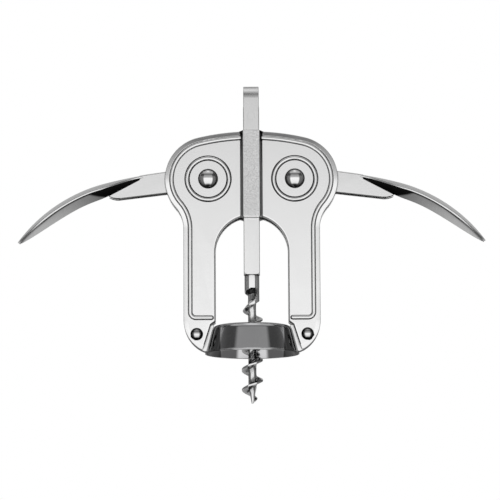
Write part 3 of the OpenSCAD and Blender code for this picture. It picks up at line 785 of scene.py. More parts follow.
class CorkscrewFinishes(PropertyGroup):
    """Colours of the metals and of the floor."""

    plate: colour("Plates", "Bright plated plates", (0.96, 0.96, 0.96))
    channel: colour("Channel", "Blasted face of the channel", (0.86, 0.86, 0.86))
    # Near-black colour of the channel's sides: painted shade.
    flank: colour("Channel sides", "Painted shade on the channel's sides", (0.12, 0.12, 0.12))
    # Near-black colour of the flute's upper end: painted shade.
    flute: colour("Flute", "Painted shade in the upper end of the worm's flute", (0.035, 0.035, 0.035))
    lever: colour("Levers", "Bright plated levers", (0.93, 0.93, 0.93))
    bell: colour("Bell", "Dark polished bell", (0.75, 0.75, 0.76))
    rivet: colour("Rivets", "Polished heads", (0.92, 0.92, 0.92))
    bar: colour("Bar", "Satin bar", (0.9, 0.9, 0.9))
    worm: colour("Worm", "Polished worm", (0.9, 0.9, 0.9))
    loop: colour("Loop", "Satin strip", (0.86, 0.86, 0.86))
    floor: colour("Floor", "Pale floor", (0.86, 0.86, 0.86))


class CorkscrewStage(PropertyGroup):
    """Camera and floor."""

    distance: length("Distance", "Distance of the camera", 1.1)
    elevation: FloatProperty(name="Elevation", description="Camera's height angle",
                             default=radians(-8.1), subtype="ANGLE")
    roll: FloatProperty(name="Roll", description="Camera's roll", default=radians(-0.3),
                        subtype="ANGLE")
    frame_width: length("Frame width", "Width that the camera sees at the object", 0.1991)
    target: FloatVectorProperty(name="Target", description="Point at the picture's centre",
                                default=(-0.0007, 0, 0.0317), size=3, subtype="TRANSLATION")
    drop: length("Floor drop", "Depth of the floor below the worm's tip", 0.0215)


# ---- Plates ----


def plate_outline():
    """Runs and arcs round the whole plate, clockwise from the middle of its crown."""
    foot_turn = degrees(acos(-(FOOT_LOW - FOOT_Z) / FOOT_R)) - 90
    corner_x = FOOT_CX + FOOT_R * cos(radians(foot_turn))
    lobe_turn = 90 - CROWN_TURN + WAIST_TURN
    return [
        ("arc", (0, CROWN_CZ), -CROWN_TURN, 12),
        ("arc", (PIVOT.x, PIVOT.z), -lobe_turn, 36),
        ("arc", (WAIST_X, WAIST_Z), WAIST_TURN, 12),
        ("line", (LEG_X, FOOT_Z)),
        ("arc", (FOOT_CX, FOOT_Z), foot_turn, 16),
        ("line", (-corner_x, FOOT_LOW)),
        ("arc", (-FOOT_CX, FOOT_Z), foot_turn, 16),
        ("line", (-LEG_X, WAIST_Z)),
        ("arc", (-WAIST_X, WAIST_Z), WAIST_TURN, 12),
        ("arc", (-PIVOT.x, PIVOT.z), -lobe_turn, 36),
        ("arc", (0, CROWN_CZ), -CROWN_TURN, 12),
    ]


def plate_slab(sizes):
    """Flat plate with a sloping rim and no window."""
    trace((0, -INNER_Y, CROWN_Z), plate_outline())
    fill_outline()
    rise = OUTER_Y - INNER_Y
    bpy.ops.mesh.extrude_region_move(TRANSFORM_OT_translate={"value": (0, -sizes.rim_edge, 0)})
    inset, height = 0.0, sizes.rim_edge
    for share_in, share_up in RIM_CURVE:
        to_inset = share_in * sizes.rim_width
        to_height = sizes.rim_edge + share_up * (rise - sizes.rim_edge)
        bpy.ops.mesh.inset(thickness=to_inset - inset, use_even_offset=True)
        bpy.ops.transform.translate(value=(0, height - to_height, 0))
        inset, height = to_inset, to_height
    face_outwards()
    return leave("slab")


def window_tool():
    """Cutter of the arched window, wider round the collar."""
    low_x, low_z = 19.96 * MM, -9.4 * MM
    step_x, step_z = 16.3 * MM, 1.3 * MM
    sill_z = 2.6 * MM
    return prism("window", (low_x, -2 * FACE_Y, low_z), [
        ("line", (step_x, step_z)), ("line", (WINDOW_R, sill_z)), ("line", (WINDOW_R, ARCH_Z)),
        ("arc", (0, ARCH_Z), 180, 48),
        ("line", (-WINDOW_R, sill_z)), ("line", (-step_x, step_z)), ("line", (-low_x, low_z)),
    ], 2 * FACE_Y)


def channel_bar():
    """Raised channel with leaning sides."""
    lean = (CHANNEL_X - CHANNEL_FACE_X) / (FACE_Y - OUTER_Y)
    root_x = CHANNEL_X + lean * (OUTER_Y - INNER_Y)
    block("channel", (-root_x, -FACE_Y, CHANNEL_LOW), (root_x, -INNER_Y, CROWN_Z))
    bpy.ops.object.mode_set(mode="EDIT")
    pick(lambda middle, face: face.normal.y < -0.9)
    bpy.ops.transform.resize(value=(CHANNEL_FACE_X / root_x, 1, 1), center_override=(0, 0, 0))
    pick(lambda middle, edge: middle.y < -0.95 * FACE_Y and abs(middle.x) > 0.5 * CHANNEL_X,
         mode="EDGE")
    bpy.ops.mesh.bevel(offset=CHANNEL_ROUND, segments=4, affect="EDGES")
    bpy.ops.mesh.select_mode(type="FACE")
    return leave("channel")


def round_window(obj, sizes):
    """Rounds the pressed edge of the window on the outer face."""
    only(obj)
    bpy.ops.object.mode_set(mode="EDIT")
    pick(lambda middle, edge: edge.calc_face_angle(0) > 1.2
         and abs(middle.y + OUTER_Y) < 1e-6, mode="EDGE")
    bpy.ops.mesh.bevel(offset=sizes.window_round, segments=4, affect="EDGES")
    bpy.ops.mesh.select_mode(type="FACE")
    bpy.ops.object.mode_set(mode="OBJECT")


def bead_sections(sizes):
    """Section of the bead, and of the wider cutter that sinks a line on each side of it."""
    half, rise, turns = sizes.bead_width / 2, sizes.bead_height, 10
    low = 2 * sizes.crease_depth
    raised = [(half * cos(pi * i / turns), -rise * sin(pi * i / turns)) for i in range(turns + 1)]
    wide = half + sizes.crease
    sunk = [(wide, -2 * rise), (-wide, -2 * rise),
            (-0.9 * wide, sizes.crease_depth), (0.9 * wide, sizes.crease_depth)]
    return raised + [(-half, low), (half, low)], sunk


def bead(sizes, section):
    """A section swept along the outline and across each leg, with rounded ends."""
    inset = sizes.rim_width + BEAD_SET
    corner = sizes.bead_corner
    end_x = WINDOW_R + BEAD_GAP + sizes.bead_width / 2
    low_z = BEAD_Z + BEAD_SET
    points = []

    def arc(cx, cz, r, start, turn, count):
        """Adds the points of an arc, both ends with it."""
        for i in range(count + 1):
            a = radians(start + turn * i / count)
            points.append((cx + r * cos(a), cz + r * sin(a)))

    arc(0, CROWN_CZ, CROWN_R - inset, 90, -CROWN_TURN, 12)
    points.pop()
    arc(PIVOT.x, PIVOT.z, LOBE_R - inset, 90 - CROWN_TURN, CROWN_TURN - 90 - WAIST_TURN, 40)
    points.pop()
    arc(WAIST_X, WAIST_Z, WAIST_R + inset, 180 - WAIST_TURN, WAIST_TURN, 12)
    arc(LEG_X - inset - corner, low_z + corner, corner, 0, -90, 10)
    points.append((end_x, low_z))
    half_rows = []
    for i, (x, z) in enumerate(points):
        before, after = points[max(0, i - 1)], points[min(len(points) - 1, i + 1)]
        run = Vector((after[0] - before[0], after[1] - before[1])).normalized()
        side = Vector((-run.y, run.x)) if i else Vector((0, 1))
        half_rows.append([(x + side.x * off, y - OUTER_Y, z + side.y * off)
                          for off, y in section])
    for a in range(15, 90, 15):
        share, reach = cos(radians(a)), section[0][0] * sin(radians(a))
        half_rows.append([(end_x - reach, y * share - OUTER_Y, low_z - off * share)
                          for off, y in section])
    rows = [[(-x, y, z) for x, y, z in row] for row in reversed(half_rows[1:])] + half_rows
    return skin("bead", [[Vector(p) for p in row] for row in rows])


def pivot_rings(sizes, extra=0.0):
    """Round rings, partly sunk, one about each pivot."""
    rings = []
    for side in (-1, 1):
        fresh()
        bpy.ops.mesh.primitive_torus_add(
            major_radius=sizes.ring_radius, minor_radius=sizes.ring_width / 2 + extra,
            major_segments=96, minor_segments=20, rotation=(pi / 2, 0, 0),
            location=(side * PIVOT.x, sizes.ring_depth - OUTER_Y, PIVOT.z),
        )
        bpy.ops.object.transform_apply()
        rings.append(leave("ring"))
    return rings


def front_plate(sizes):
    """The whole plate: slab, window, sunk lines, channel with its hollow, beads and rings."""
    obj = combine(plate_slab(sizes), window_tool(), "DIFFERENCE")
    round_window(obj, sizes)
    raised, sunk = bead_sections(sizes)
    for tool in (bead(sizes, sunk), *pivot_rings(sizes, sizes.crease)):
        combine(obj, tool, "DIFFERENCE")
    combine(obj, channel_bar(), "UNION")
    combine(obj, block("hollow", (-HOLLOW_X, -HOLLOW_Y, GUIDE_TOP),
                       (HOLLOW_X, 0, 2 * CROWN_Z)), "DIFFERENCE")
    soften(obj, sizes.softness)
    obj = merge_pieces("plate", [obj, bead(sizes, raised), *pivot_rings(sizes)])
    smooth_faces(obj)
    return obj


class MESH_OT_corkscrew_plates(Operator):
    """Models the front plate and turns a copy of it for the back"""

    bl_idname = "mesh.corkscrew_plates"
    bl_label = "Plates"

    def execute(self, context):
        sizes = context.scene.corkscrew_plates
        front = front_plate(sizes)
        back = turned(copied(front, "back_cover"), pi, "Z")
        front.name = front.data.name = "front_cover"
        for obj, node in ((front, "front_plate"), (back, "back_plate")):
            finished(obj, "frame", "plates", finish("plated plate"), node)
            # The channel's outer face is blasted, and its two sides are coloured near black as
            # painted shade.
            obj.data.materials.append(finish("blasted channel"))
            obj.data.materials.append(finish("painted shade flank"))
            for face in obj.data.polygons:
                x, y = abs(face.center.x), abs(face.center.y)
                if y > 0.97 * FACE_Y and abs(face.normal.y) > 0.95:
                    face.material_index = 1
                elif x < 1.2 * CHANNEL_X and face.normal.x * face.center.x > 0.5 * x:
                    face.material_index = 2
        return {"FINISHED"}


# ---- Collar ----


def bell_profile(sizes):
    """Half section of the bell, from its mouth outside, over the top and back inside."""
    lean = atan(SIDE_LEAN)
    r = sizes.shoulder
    top, low = COLLAR_HIGH.z, COLLAR_LOW.z
    rim = low + sizes.rim
    step_in, step_up = 0.3 * MM, 0.15 * MM
    shoulder_z = top - r
    shoulder_x = MOUTH_R - SIDE_LEAN * (shoulder_z - low) - r / cos(lean)
    start = (shoulder_x + r * cos(lean), shoulder_z + r * sin(lean))
    seat = top - sizes.top
    return [
        ("line", (MOUTH_R, rim)), ("line", (MOUTH_R - step_in, rim + step_up)),
        ("line", start), ("arc", (shoulder_x, shoulder_z), 90 - degrees(lean), 10),
        ("line", (WORM_HOLE_R, top)), ("line", (WORM_HOLE_R, seat)),
        ("line", (LIP_R, seat)), ("line", (LIP_R, seat - sizes.lip)),
        ("line", (MOUTH_R - sizes.wall, low)), ("line", (MOUTH_R, low)),
    ]


def bell(sizes):
    """The bell, spun from its half section."""
    trace((MOUTH_R, 0, COLLAR_LOW.z), bell_profile(sizes))
    merge_doubles()
    bpy.ops.mesh.spin(steps=128, angle=2 * pi, center=(0, 0, 0), axis=(0, 0, 1))
    merge_doubles()
    face_outwards()
    obj = leave("bell")
    soften(obj, 0.18 * MM, segments=3)
    return obj


def lug():
    """Lug from the bell's side out to the right leg's curve."""
    top, root_x, root_z = COLLAR_HIGH.z, LIP_R + 0.5 * MM, -1 * MM
    angle = degrees(atan2(top - FOOT_Z, sqrt(FOOT_R**2 - (top - FOOT_Z) ** 2)))
    outer_x = FOOT_CX + FOOT_R * cos(radians(angle))
    in_wall = (MOUTH_R - 0.8 * MM, COLLAR_LOW.z + 0.9 * MM)
    obj = prism("lug", (root_x, -INNER_Y, top), [
        ("line", (outer_x, top)), ("arc", (FOOT_CX, FOOT_Z), LUG_END - angle, 16),
        ("line", in_wall), ("line", (root_x, root_z)), ("line", (root_x, top)),
    ], 2 * INNER_Y)
    soften(obj, 0.15 * MM)
    return obj


class MESH_OT_corkscrew_collar(Operator):
    """Turns the bell and adds its two lugs"""

    bl_idname = "mesh.corkscrew_collar"
    bl_label = "Collar"

    def execute(self, context):
        right = lug()
        left = mirrored(copied(right, "lug_left"), (-1, 1, 1))
        obj = merge_pieces("collar", [bell(context.scene.corkscrew_collar), right, left])
        smooth_faces(obj)
        finished(obj, "frame", "collar", finish("polished bell"), "bottle_collar")
        obj.data.materials.append(finish("plated plate"))
        for face in obj.data.polygons:
            x, y, z = face.center
            side_r = TOP_R + SIDE_LEAN * (COLLAR_HIGH.z - z)
            on_lug = abs(y) < INNER_Y + 0.01 * MM and abs(x) > side_r - 0.6 * MM
            face.material_index = int(on_lug)
        return {"FINISHED"}


# ---- Rivets ----


def domed_pin(x, z, radius, shank_r, end_y):
    """Rivet along Y with a domed head on each plate."""
    rise = end_y - OUTER_Y
    ball = (radius**2 + rise**2) / (2 * rise)
    pieces = []
    for side in (-1, 1):
        fresh()
        bpy.ops.mesh.primitive_uv_sphere_add(segments=64, ring_count=48, radius=ball,
                                             enter_editmode=True)
        bpy.ops.transform.rotate(value=pi / 2, orient_axis="X", center_override=(0, 0, 0))
        bpy.ops.transform.translate(value=(x, side * (end_y - ball), z))
        bpy.ops.mesh.bisect(plane_co=(x, side * OUTER_Y, z), plane_no=(0, side, 0),
                            clear_inner=True, use_fill=True)
        face_outwards()
        head = leave("head")
        soften(head, HEAD_EDGE, angle=25)
        pieces.append(head)
    pieces.append(rod("shank", shank_r, 2 * OUTER_Y, (x, 0, z)))
    return pieces


def pair_of_pins(name, low, high, shank_r):
    """Two like rivets, one on each side, in the box of their CAD node."""
    z, radius = (low.z + high.z) / 2, (high.z - low.z) / 2
    pieces = []
    for side in (-1, 1):
        pieces += domed_pin(side * (high.x - radius), z, radius, shank_r, high.y)
    obj = merge_pieces(name, pieces)
    smooth_faces(obj, 30)
    return obj


class MESH_OT_corkscrew_rivets(Operator):
    """Models the pivot rivets and collar rivets with their domed heads"""

    bl_idname = "mesh.corkscrew_rivets"
    bl_label = "Rivets"

    def execute(self, context):
        pivots = pair_of_pins("pivot_domes", DOME_LOW, DOME_HIGH, PIVOT_SHANK_R)
        finished(pivots, "frame", "rivets", finish("polished rivet"), "pivot_rivets")
        pins = pair_of_pins("collar_domes", PIN_LOW, PIN_HIGH, PIN_SHANK_R)
        finished(pins, "frame", "rivets", finish("polished rivet"), "collar_rivets")
        return {"FINISHED"}


# ---- Levers ----


def crown_point(s):
    """Place and slope of the blade's crown at a distance along its path."""
    bends = ((ROOT_LEN, ROOT_BEND), (BLADE_LEN, BLADE_BEND))
    x, z, slope = NECK_REACH, NECK_RISE, NECK_SLOPE
    if s < 0:
        return x + s * cos(slope), z - s * sin(slope) + 0.15 * s, slope
    for run, bend in bends:
        part = min(s, run)
        radius = run / bend
        after = slope + part / radius
        x += radius * (sin(after) - sin(slope))
        z -= radius * (cos(slope) - cos(after))
        slope, s = after, s - part
        if s <= 0:
            break
    return x, z, slope


def blade_row(s, sizes):
    """Closed section of the blade: domed skin, round rim and hollow underside."""
    x, z, slope = crown_point(s)
    nose = max(0, (s - PATH_LEN + sizes.nose) / sizes.nose)
    shrink = max(0, 1 - nose**2.4) ** 0.8
    root, least, strips = LEVER_Y - 0.28 * MM, 0.25 * MM, 14
    half = (root + (sizes.blade_width / 2 - root) * ease(s / sizes.widen)) * shrink
    half = max(least, half)
    sag = sizes.blade_sag * (0.1 + 0.9 * ease(s / (0.9 * sizes.widen))) * shrink
    upper = [2 * j / strips - 1 for j in range(strips + 1)]
    rim = sizes.rim_sheet
    bulge = [(half + rim * RIM_BULGE * sin(radians(a)) * min(1, half / MM),
              -sag - rim / 2 + rim / 2 * cos(radians(a))) for a in RIM_TURNS]
    row = [(v * half, -sag * v * v) for v in upper] + bulge
    for v in reversed(upper):
        sheet = sizes.sheet - (sizes.sheet - rim) * v * v
        row.append((v * half, -sag * v * v - sheet))
    row += [(-y, n) for y, n in reversed(bulge)]
    return [Vector((x + n * sin(slope), y, z + n * cos(slope))) for y, n in row]


def blade(sizes):
    """Leaf-shaped blade with close rows round its nose."""
    start, plain = -3 * MM, PATH_LEN - sizes.nose / 2
    even, close = 44, 30
    stations = [start + (plain - start) * i / even for i in range(even)]
    stations += [plain + (PATH_LEN - plain) * sin(pi / 2 * i / close) for i in range(close + 1)]
    return skin("blade", [blade_row(s, sizes) for s in stations])


def neck(sizes):
    """Folded neck: a block with round folds, hollowed from below."""
    lead = 3.4 * MM
    x0, z0, _ = crown_point(0)
    x1, z1, _ = crown_point(lead)
    slant_z = z1 - 1.5 * sizes.sheet
    turn, past, corner_r, reach, drop = 30, 6, 7.5 * MM, 39.7 * MM, 7.5 * MM
    tip = (reach, corner_r * (1 - cos(radians(turn))) - drop)
    centre = (reach - corner_r * sin(radians(turn)), corner_r - drop)
    root_x, root_drop = 8 * MM, 5.2 * MM
    top = NECK_RISE + (NECK_REACH - root_x) * tan(NECK_SLOPE)
    sunk = 0.04 * MM
    obj = prism("neck", (root_x, -LEVER_Y, top - sunk), [
        ("line", (x0, z0 - sunk)), ("line", (x1, z1 - 2 * sunk)), ("line", (x1, slant_z)),
        ("line", tip), ("arc", centre, -turn - past, 10),
        ("line", (GEAR_TIP_R, -root_drop)), ("line", (root_x, -root_drop)),
        ("line", (root_x, top - sunk)),
    ], 2 * LEVER_Y)

    def fold_share(middle, edge):
        """All of the fold's radius along the neck, less at its end and below, none on flats."""
        if edge.calc_face_angle(0) < 0.8:
            return 0
        return 1.0 if middle.z > 0 and middle.x < x1 - 0.1 * MM else 0.45

    soften_some(obj, sizes.fold, 4, fold_share)
    inside = LEVER_Y - sizes.sheet
    web_top = NECK_RISE + (NECK_REACH - GEAR_ROOT_R) * tan(NECK_SLOPE)
    slot = prism("slot", (-root_x, -inside, 2 * PIVOT.x), [
        ("line", (GEAR_ROOT_R, 2 * PIVOT.x)), ("line", (GEAR_ROOT_R, web_top - sizes.sheet)),
        ("line", (x0, z0 - sizes.sheet)), ("line", (x1, z1 - sizes.sheet)),
        ("line", (2 * reach, z1 - sizes.sheet)), ("line", (2 * reach, -PIVOT.x)),
        ("line", (-root_x, -PIVOT.x)), ("line", (-root_x, 2 * PIVOT.x)),
    ], 2 * inside)
    return combine(obj, slot, "DIFFERENCE")


def gear_points():
    """Outline of the gear sector: teeth on the far side of the pivot, round elsewhere."""
    tooth = [(-offset, r) for offset, r in reversed(FLANK)] + list(FLANK)
    points = []
    for k in range(FIRST_TOOTH, LAST_TOOTH + 1):
        middle = pi + k * TOOTH_TURN
        for offset, r in tooth:
            a = middle + offset * (TOOTH_TURN / 4)
            points.append((r * cos(a), r * sin(a)))
    first, last = pi + LAST_TOOTH * TOOTH_TURN, pi + FIRST_TOOTH * TOOTH_TURN + 2 * pi
    steps = 30
    for i in range(1, steps):
        a = first + (last - first) * i / steps
        points.append((GEAR_ROOT_R * cos(a), GEAR_ROOT_R * sin(a)))
    return points


def gear(sizes):
    """One toothed disc of the sheet's thickness, with the bore for the sleeve."""
    points = gear_points()
    obj = prism("gear", (points[0][0], -LEVER_Y, points[0][1]),
                [("line", p) for p in points[1:]] + [("line", points[0])], sizes.sheet)
    combine(obj, rod("bore", BORE_R, 4 * LEVER_Y, vertices=64), "DIFFERENCE")
    soften(obj, 0.1 * MM)
    return obj


def lever(sizes):
    """The right lever, moved to its pivot."""
    near = gear(sizes)
    far = mirrored(copied(near, "gear_far"), (1, -1, 1))
    obj = merge_pieces("lever", [neck(sizes), blade(sizes), near, far])
    edit_all(obj)
    bpy.ops.transform.translate(value=PIVOT)
    bpy.ops.object.mode_set(mode="OBJECT")
    return obj


class MESH_OT_corkscrew_levers(Operator):
    """Models the right lever and mirrors a copy of it for the left"""

    bl_idname = "mesh.corkscrew_levers"
    bl_label = "Levers"

    def execute(self, context):
        right = lever(context.scene.corkscrew_levers)
        left = mirrored(copied(right, "lever_left"), (-1, 1, 1))
        right.name = right.data.name = "lever_right"
        for obj, node in ((right, "right_lever"), (left, "left_lever")):
            smooth_faces(obj, 42)
            finished(obj, node, "levers", finish("plated lever"), node)
            obj.data.materials.append(finish("lever hollow"))
            # Faces under the blade take the lever hollow finish with its painted shade.
            for face in obj.data.polygons:
                x, y = abs(face.center.x), abs(face.center.y)
                inside = x > BLADE_FROM_X or y < LEVER_Y - CHEEK
                face.material_index = int(inside and face.normal.z < -0.25)
        return {"FINISHED"}


# ---- Bar, worm and loop ----


def bar_end(high_z):
    """Plain lower end of the bar, with round sides and its corners turned off at the foot."""
    obj = block("end", BAR_LOW, (BAR_HIGH.x, BAR_HIGH.y, high_z))
    corner, burr = 0.35 * MM, 0.12 * MM
    soften_some(obj, corner, 3, lambda middle, edge: abs(middle.x) > 0 < abs(middle.y)
                and BAR_LOW.z + MM < middle.z < high_z - MM)
    foot_r, rise, past = 3.6 * MM, high_z - BAR_LOW.z, 1 * MM
    fresh()
    bpy.ops.mesh.primitive_cone_add(
        vertices=128, radius1=foot_r - past, radius2=foot_r + rise + past, depth=rise + 2 * past,
        location=(0, 0, (BAR_LOW.z + high_z) / 2),
    )
    bpy.ops.object.transform_apply()
    combine(obj, leave("turning"), "INTERSECT")
    soften_some(obj, burr, 2, lambda middle, edge: middle.z < BAR_LOW.z + 2 * MM
                and edge.calc_face_angle(0) > 0.5)
    return obj


class MESH_OT_corkscrew_bar(Operator):
    """Rounds the toothed bar's edges on a merged copy of its solid"""

    bl_idname = "mesh.corkscrew_bar"
    bl_label = "Toothed bar"

    def execute(self, context):
        only(frame["nodes"]["rack_bar"])
        bpy.ops.object.duplicate()
        obj = bpy.context.object
        # The copy stands free of the CAD node: it drops its parent and its own properties.
        obj.parent = None
        for key in list(obj.keys()):
            del obj[key]
        bpy.ops.object.mode_set(mode="EDIT")
        merge_doubles()
        bpy.ops.mesh.dissolve_limited(angle_limit=radians(1))
        bpy.ops.object.mode_set(mode="OBJECT")
        soften(obj, 0.2 * MM, angle=30)
        join_z = CHANNEL_LOW + 0.8 * MM
        edit_all(obj)
        bpy.ops.mesh.bisect(plane_co=(0, 0, join_z), plane_no=(0, 0, 1), clear_inner=True,
                            use_fill=True)
        bpy.ops.object.mode_set(mode="OBJECT")
        obj = merge_pieces("toothed_bar", [obj, bar_end(join_z)])
        smooth_faces(obj, 35)
        finished(obj, "rack", "bar", finish("satin bar"), "rack_bar")
        return {"FINISHED"}


def worm_offsets():
    """Angles round one ring from the blade's edge, close together on its flanks."""
    half = [0, 3, 6, 9, 12, 14, 16, 18, 20, 22, 24, 26, 28, 31, 34, 38, 43, 49, 56, 64, 74, 86,
            100, 116, 134, 156, 180]
    return half + [360 - a for a in reversed(half[1:-1])]


def worm_row(z, sizes):
    """Ring of the worm at a height: core, flute and blade, turned with the height."""
    above_tip = (z - WORM_LOW.z) / MM
    pitch = sizes.pitch / MM
    core = min(sizes.core, (TIP_CORE + TIP_TAPER * above_tip) * MM)
    turn = 2 * pi * (z - RUN_OUT_Z + BLADE_LEAD) / sizes.pitch
    row = []
    for a in worm_offsets():
        signed = a if a <= 180 else a - 360
        off = abs(signed) / 360 * pitch
        blade_z = z - signed / 360 * sizes.pitch - RUN_OUT_Z
        flute_z = z + (a - FLUTE_MIDDLE) / 360 * sizes.pitch - RUN_OUT_Z
        thick = ease((blade_z + THICKEN_LOW) / THICKEN_RUN)
        sunk = ease((blade_z + SINK_LOW) / SINK_RUN)
        crest = sizes.blade + (sizes.shank - 0.01 * MM - sizes.blade) * sunk
        crest *= min(1, above_tip / TIP_RISE) ** 0.7
        land = LAND + LAND_GAIN * thick
        deep = sum(ease((off - land) / run) * share for run, share in FALLS)
        if flute_z > FLUTE_START:
            # The flute ends in a round scoop, steep above its middle and long below it.
            above = z - RUN_OUT_Z - flute_z
            above *= SCOOP_ABOVE if above > 0 else SCOOP_BELOW
            gone = hypot(SCOOP_ACROSS * (flute_z - FLUTE_START), above) / SCOOP_R
            deep = min(deep, sqrt(max(0, 1 - gone**2)))
        r = max(crest - (crest - core) * deep, core, 0.3 * MM)
        row.append(Vector((r * cos(radians(a) + turn), r * sin(radians(a) + turn), z)))
    return row


class MESH_OT_corkscrew_worm(Operator):
    """Models the worm: round shank, open flute and right-hand blade down to its tip"""

    bl_idname = "mesh.corkscrew_worm"
    bl_label = "Worm"

    def execute(self, context):
        sizes = context.scene.corkscrew_worm
        rings, overlap, shade_z = 420, 0.4 * MM, RUN_OUT_Z + 4.8 * MM
        rows = [worm_row(WORM_LOW.z + (WORM_TOP - WORM_LOW.z) * i / rings, sizes)
                for i in range(rings + 1)]
        turnings = skin("turnings", rows)
        shank = rod("shank", sizes.shank, BAR_LOW.z - WORM_TOP + overlap,
                    (0, 0, (BAR_LOW.z + WORM_TOP - overlap) / 2), along_y=False, vertices=96)
        soften(shank, 0.12 * MM)
        spigot = rod("spigot", SPIGOT_R, WORM_HIGH.z - WORM_TOP,
                     (0, 0, (WORM_HIGH.z + WORM_TOP) / 2), along_y=False)
        obj = merge_pieces("worm_screw", [turnings, shank, spigot])
        smooth_faces(obj, 50)
        finished(obj, "rack", "worm", finish("polished worm"), "worm")
        obj.data.materials.append(finish("painted shade flute"))
        # The flute's upper end, inside the shank, gets the near-black colour: painted shade.
        for face in obj.data.polygons:
            x, y, z = face.center
            face.material_index = int(hypot(x, y) < 0.9 * sizes.shank and z > shade_z)
        return {"FINISHED"}


def strip_section(half_width, half_depth, radius):
    """Rounded rectangle, as offsets across the strip and along its thickness."""
    section, steps = [], 4
    for sx, sy, start in ((1, 1, 0), (-1, 1, 90), (-1, -1, 180), (1, -1, 270)):
        for i in range(steps + 1):
            a = radians(start + 90 / steps * i)
            section.append((sx * (half_width - radius) + radius * cos(a),
                            sy * (half_depth - radius) + radius * sin(a)))
    return section


class MESH_OT_corkscrew_loop(Operator):
    """Bends the hanging loop's strip over the bar's end"""

    bl_idname = "mesh.corkscrew_loop"
    bl_label = "Hanging loop"

    def execute(self, context):
        thick, corner = 2.4 * MM, 0.3 * MM
        mean = LOOP_HIGH.y - thick / 2
        bend_z = LOOP_HIGH.z - LOOP_HIGH.y
        section = strip_section(LOOP_HIGH.x, thick / 2, corner)
        bend = [(-mean * cos(radians(a)), bend_z + mean * sin(radians(a)), 180 - a)
                for a in range(0, 186, 6)]
        path = [(-mean, LOOP_LOW.z, 180), *bend, (mean, LOOP_LOW.z, 0)]
        rows = [
            [Vector((across, y + off * cos(radians(a)), z + off * sin(radians(a))))
             for across, off in section]
            for y, z, a in path
        ]
        obj = skin("loop_strip", rows)
        radius = (RIVET_HIGH.z - RIVET_LOW.z) / 2 + 0.02 * MM
        hole = rod("hole", radius, 4 * LOOP_HIGH.y, (0, 0, (RIVET_LOW.z + RIVET_HIGH.z) / 2))
        combine(obj, hole, "DIFFERENCE")
        smooth_faces(obj, 35)
        finished(obj, "rack", "loop", finish("satin loop"), "hanging_loop")
        return {"FINISHED"}


class MESH_OT_corkscrew_hidden(Operator):
    """Gives the sleeves and the loop's flush rivet their finishes"""

    bl_idname = "mesh.corkscrew_hidden"
    bl_label = "Sleeves and loop rivet"

    def execute(self, context):
        for node, name in (("pivot_sleeves", "turned sleeve"), ("loop_rivet", "satin loop")):
            obj = frame["nodes"][node]
            obj.data.materials.clear()
            obj.data.materials.append(finish(name))
        return {"FINISHED"}


# ---- Stage ----


# Light that metal sees at each height angle, in degrees and grey level.
FRONT_LIGHT = (
    (-90, 0.01), (-62, 0.02), (-52, 0.45), (-43, 0.88), (-5, 1), (6, 1), (7, 0.98), (8, 0.95),
    (9, 0.83), (10, 0.66), (11, 0.56), (20, 0.44), (30, 0.34), (40, 0.28), (44, 0.07), (90, 0.04),
)
SIDE_LIGHT = (
    (-90, 0.01), (-60, 0.06), (-40, 0.14), (22, 0.17), (30, 0.06), (46, 0.06), (56, 0.45),
    (76, 0.45), (90, 0.05),
)
CORNER_LIGHT = (
    (-90, 0.01), (-65, 0.06), (-50, 0.45), (-12, 0.5), (-3, 0.45), (1, 0.06), (90, 0.04),
)
BACK_LIGHT = (
    (-90, 0.01), (-70, 0.06), (-57, 0.3), (-24, 0.36), (-14, 0.26), (-8, 0.12), (1, 0.08),
    (6, 0.3), (12, 0.5), (30, 0.45), (38, 0.25), (48, 0.06), (90, 0.04),
)
# Angles from the front between which each light takes over from the one before it.
TURNS = ((SIDE_LIGHT, 42, 52), (CORNER_LIGHT, 98, 112), (BACK_LIGHT, 146, 164))
# Strip light on each side, above and a little behind, by Y and Z of the direction.
STRIP_Y = ((-1, 0), (0.1, 0), (0.16, 1), (0.22, 1), (0.26, 0), (1, 0))
STRIP_Z = ((-1, 0), (0.25, 0), (0.4, 1), (0.82, 1), (0.9, 0), (1, 0))
# Grey level of that strip, and of the room for rays that are neither glossy nor the camera's.
STRIP_LEVEL, ROOM_LEVEL = 0.42, 0.9
# Floor's radius, and the radii between which it fades out.
FLOOR_R, FLOOR_CLEAR, FLOOR_GONE = 0.45, 0.2, 0.43
LAMP_POWER, LAMP_SIZE, LAMP_PLACE = 1.2, 0.6, (0, -0.1, 0.7)
# Width of the camera's sensor in mm.
SENSOR = 36


def curve(tree, value, stops, low, high):
    """A ramp from one socket's range to grey levels."""
    ramp = add(tree, "ShaderNodeValToRGB")
    share = maths(tree, "DIVIDE", maths(tree, "SUBTRACT", value, low), high - low)
    link(tree, share, ramp.inputs["Fac"])
    for i, (at, level) in enumerate(stops):
        place = (at - low) / (high - low)
        stop = ramp.color_ramp.elements[0] if i == 0 else ramp.color_ramp.elements.new(place)
        stop.position, stop.color = place, (level, level, level, 1)
    ramp.color_ramp.elements.remove(ramp.color_ramp.elements[-1])
    return ramp.outputs["Color"]


def blend(tree, share, first, second):
    """From the first value to the second by a share."""
    node = add(tree, "ShaderNodeMix", data_type="FLOAT")
    for socket, value in zip((node.inputs[0], node.inputs[2], node.inputs[3]),
                             (share, first, second)):
        if isinstance(value, (int, float)):
            socket.default_value = value
        else:
            link(tree, value, socket)
    return node.outputs[0]


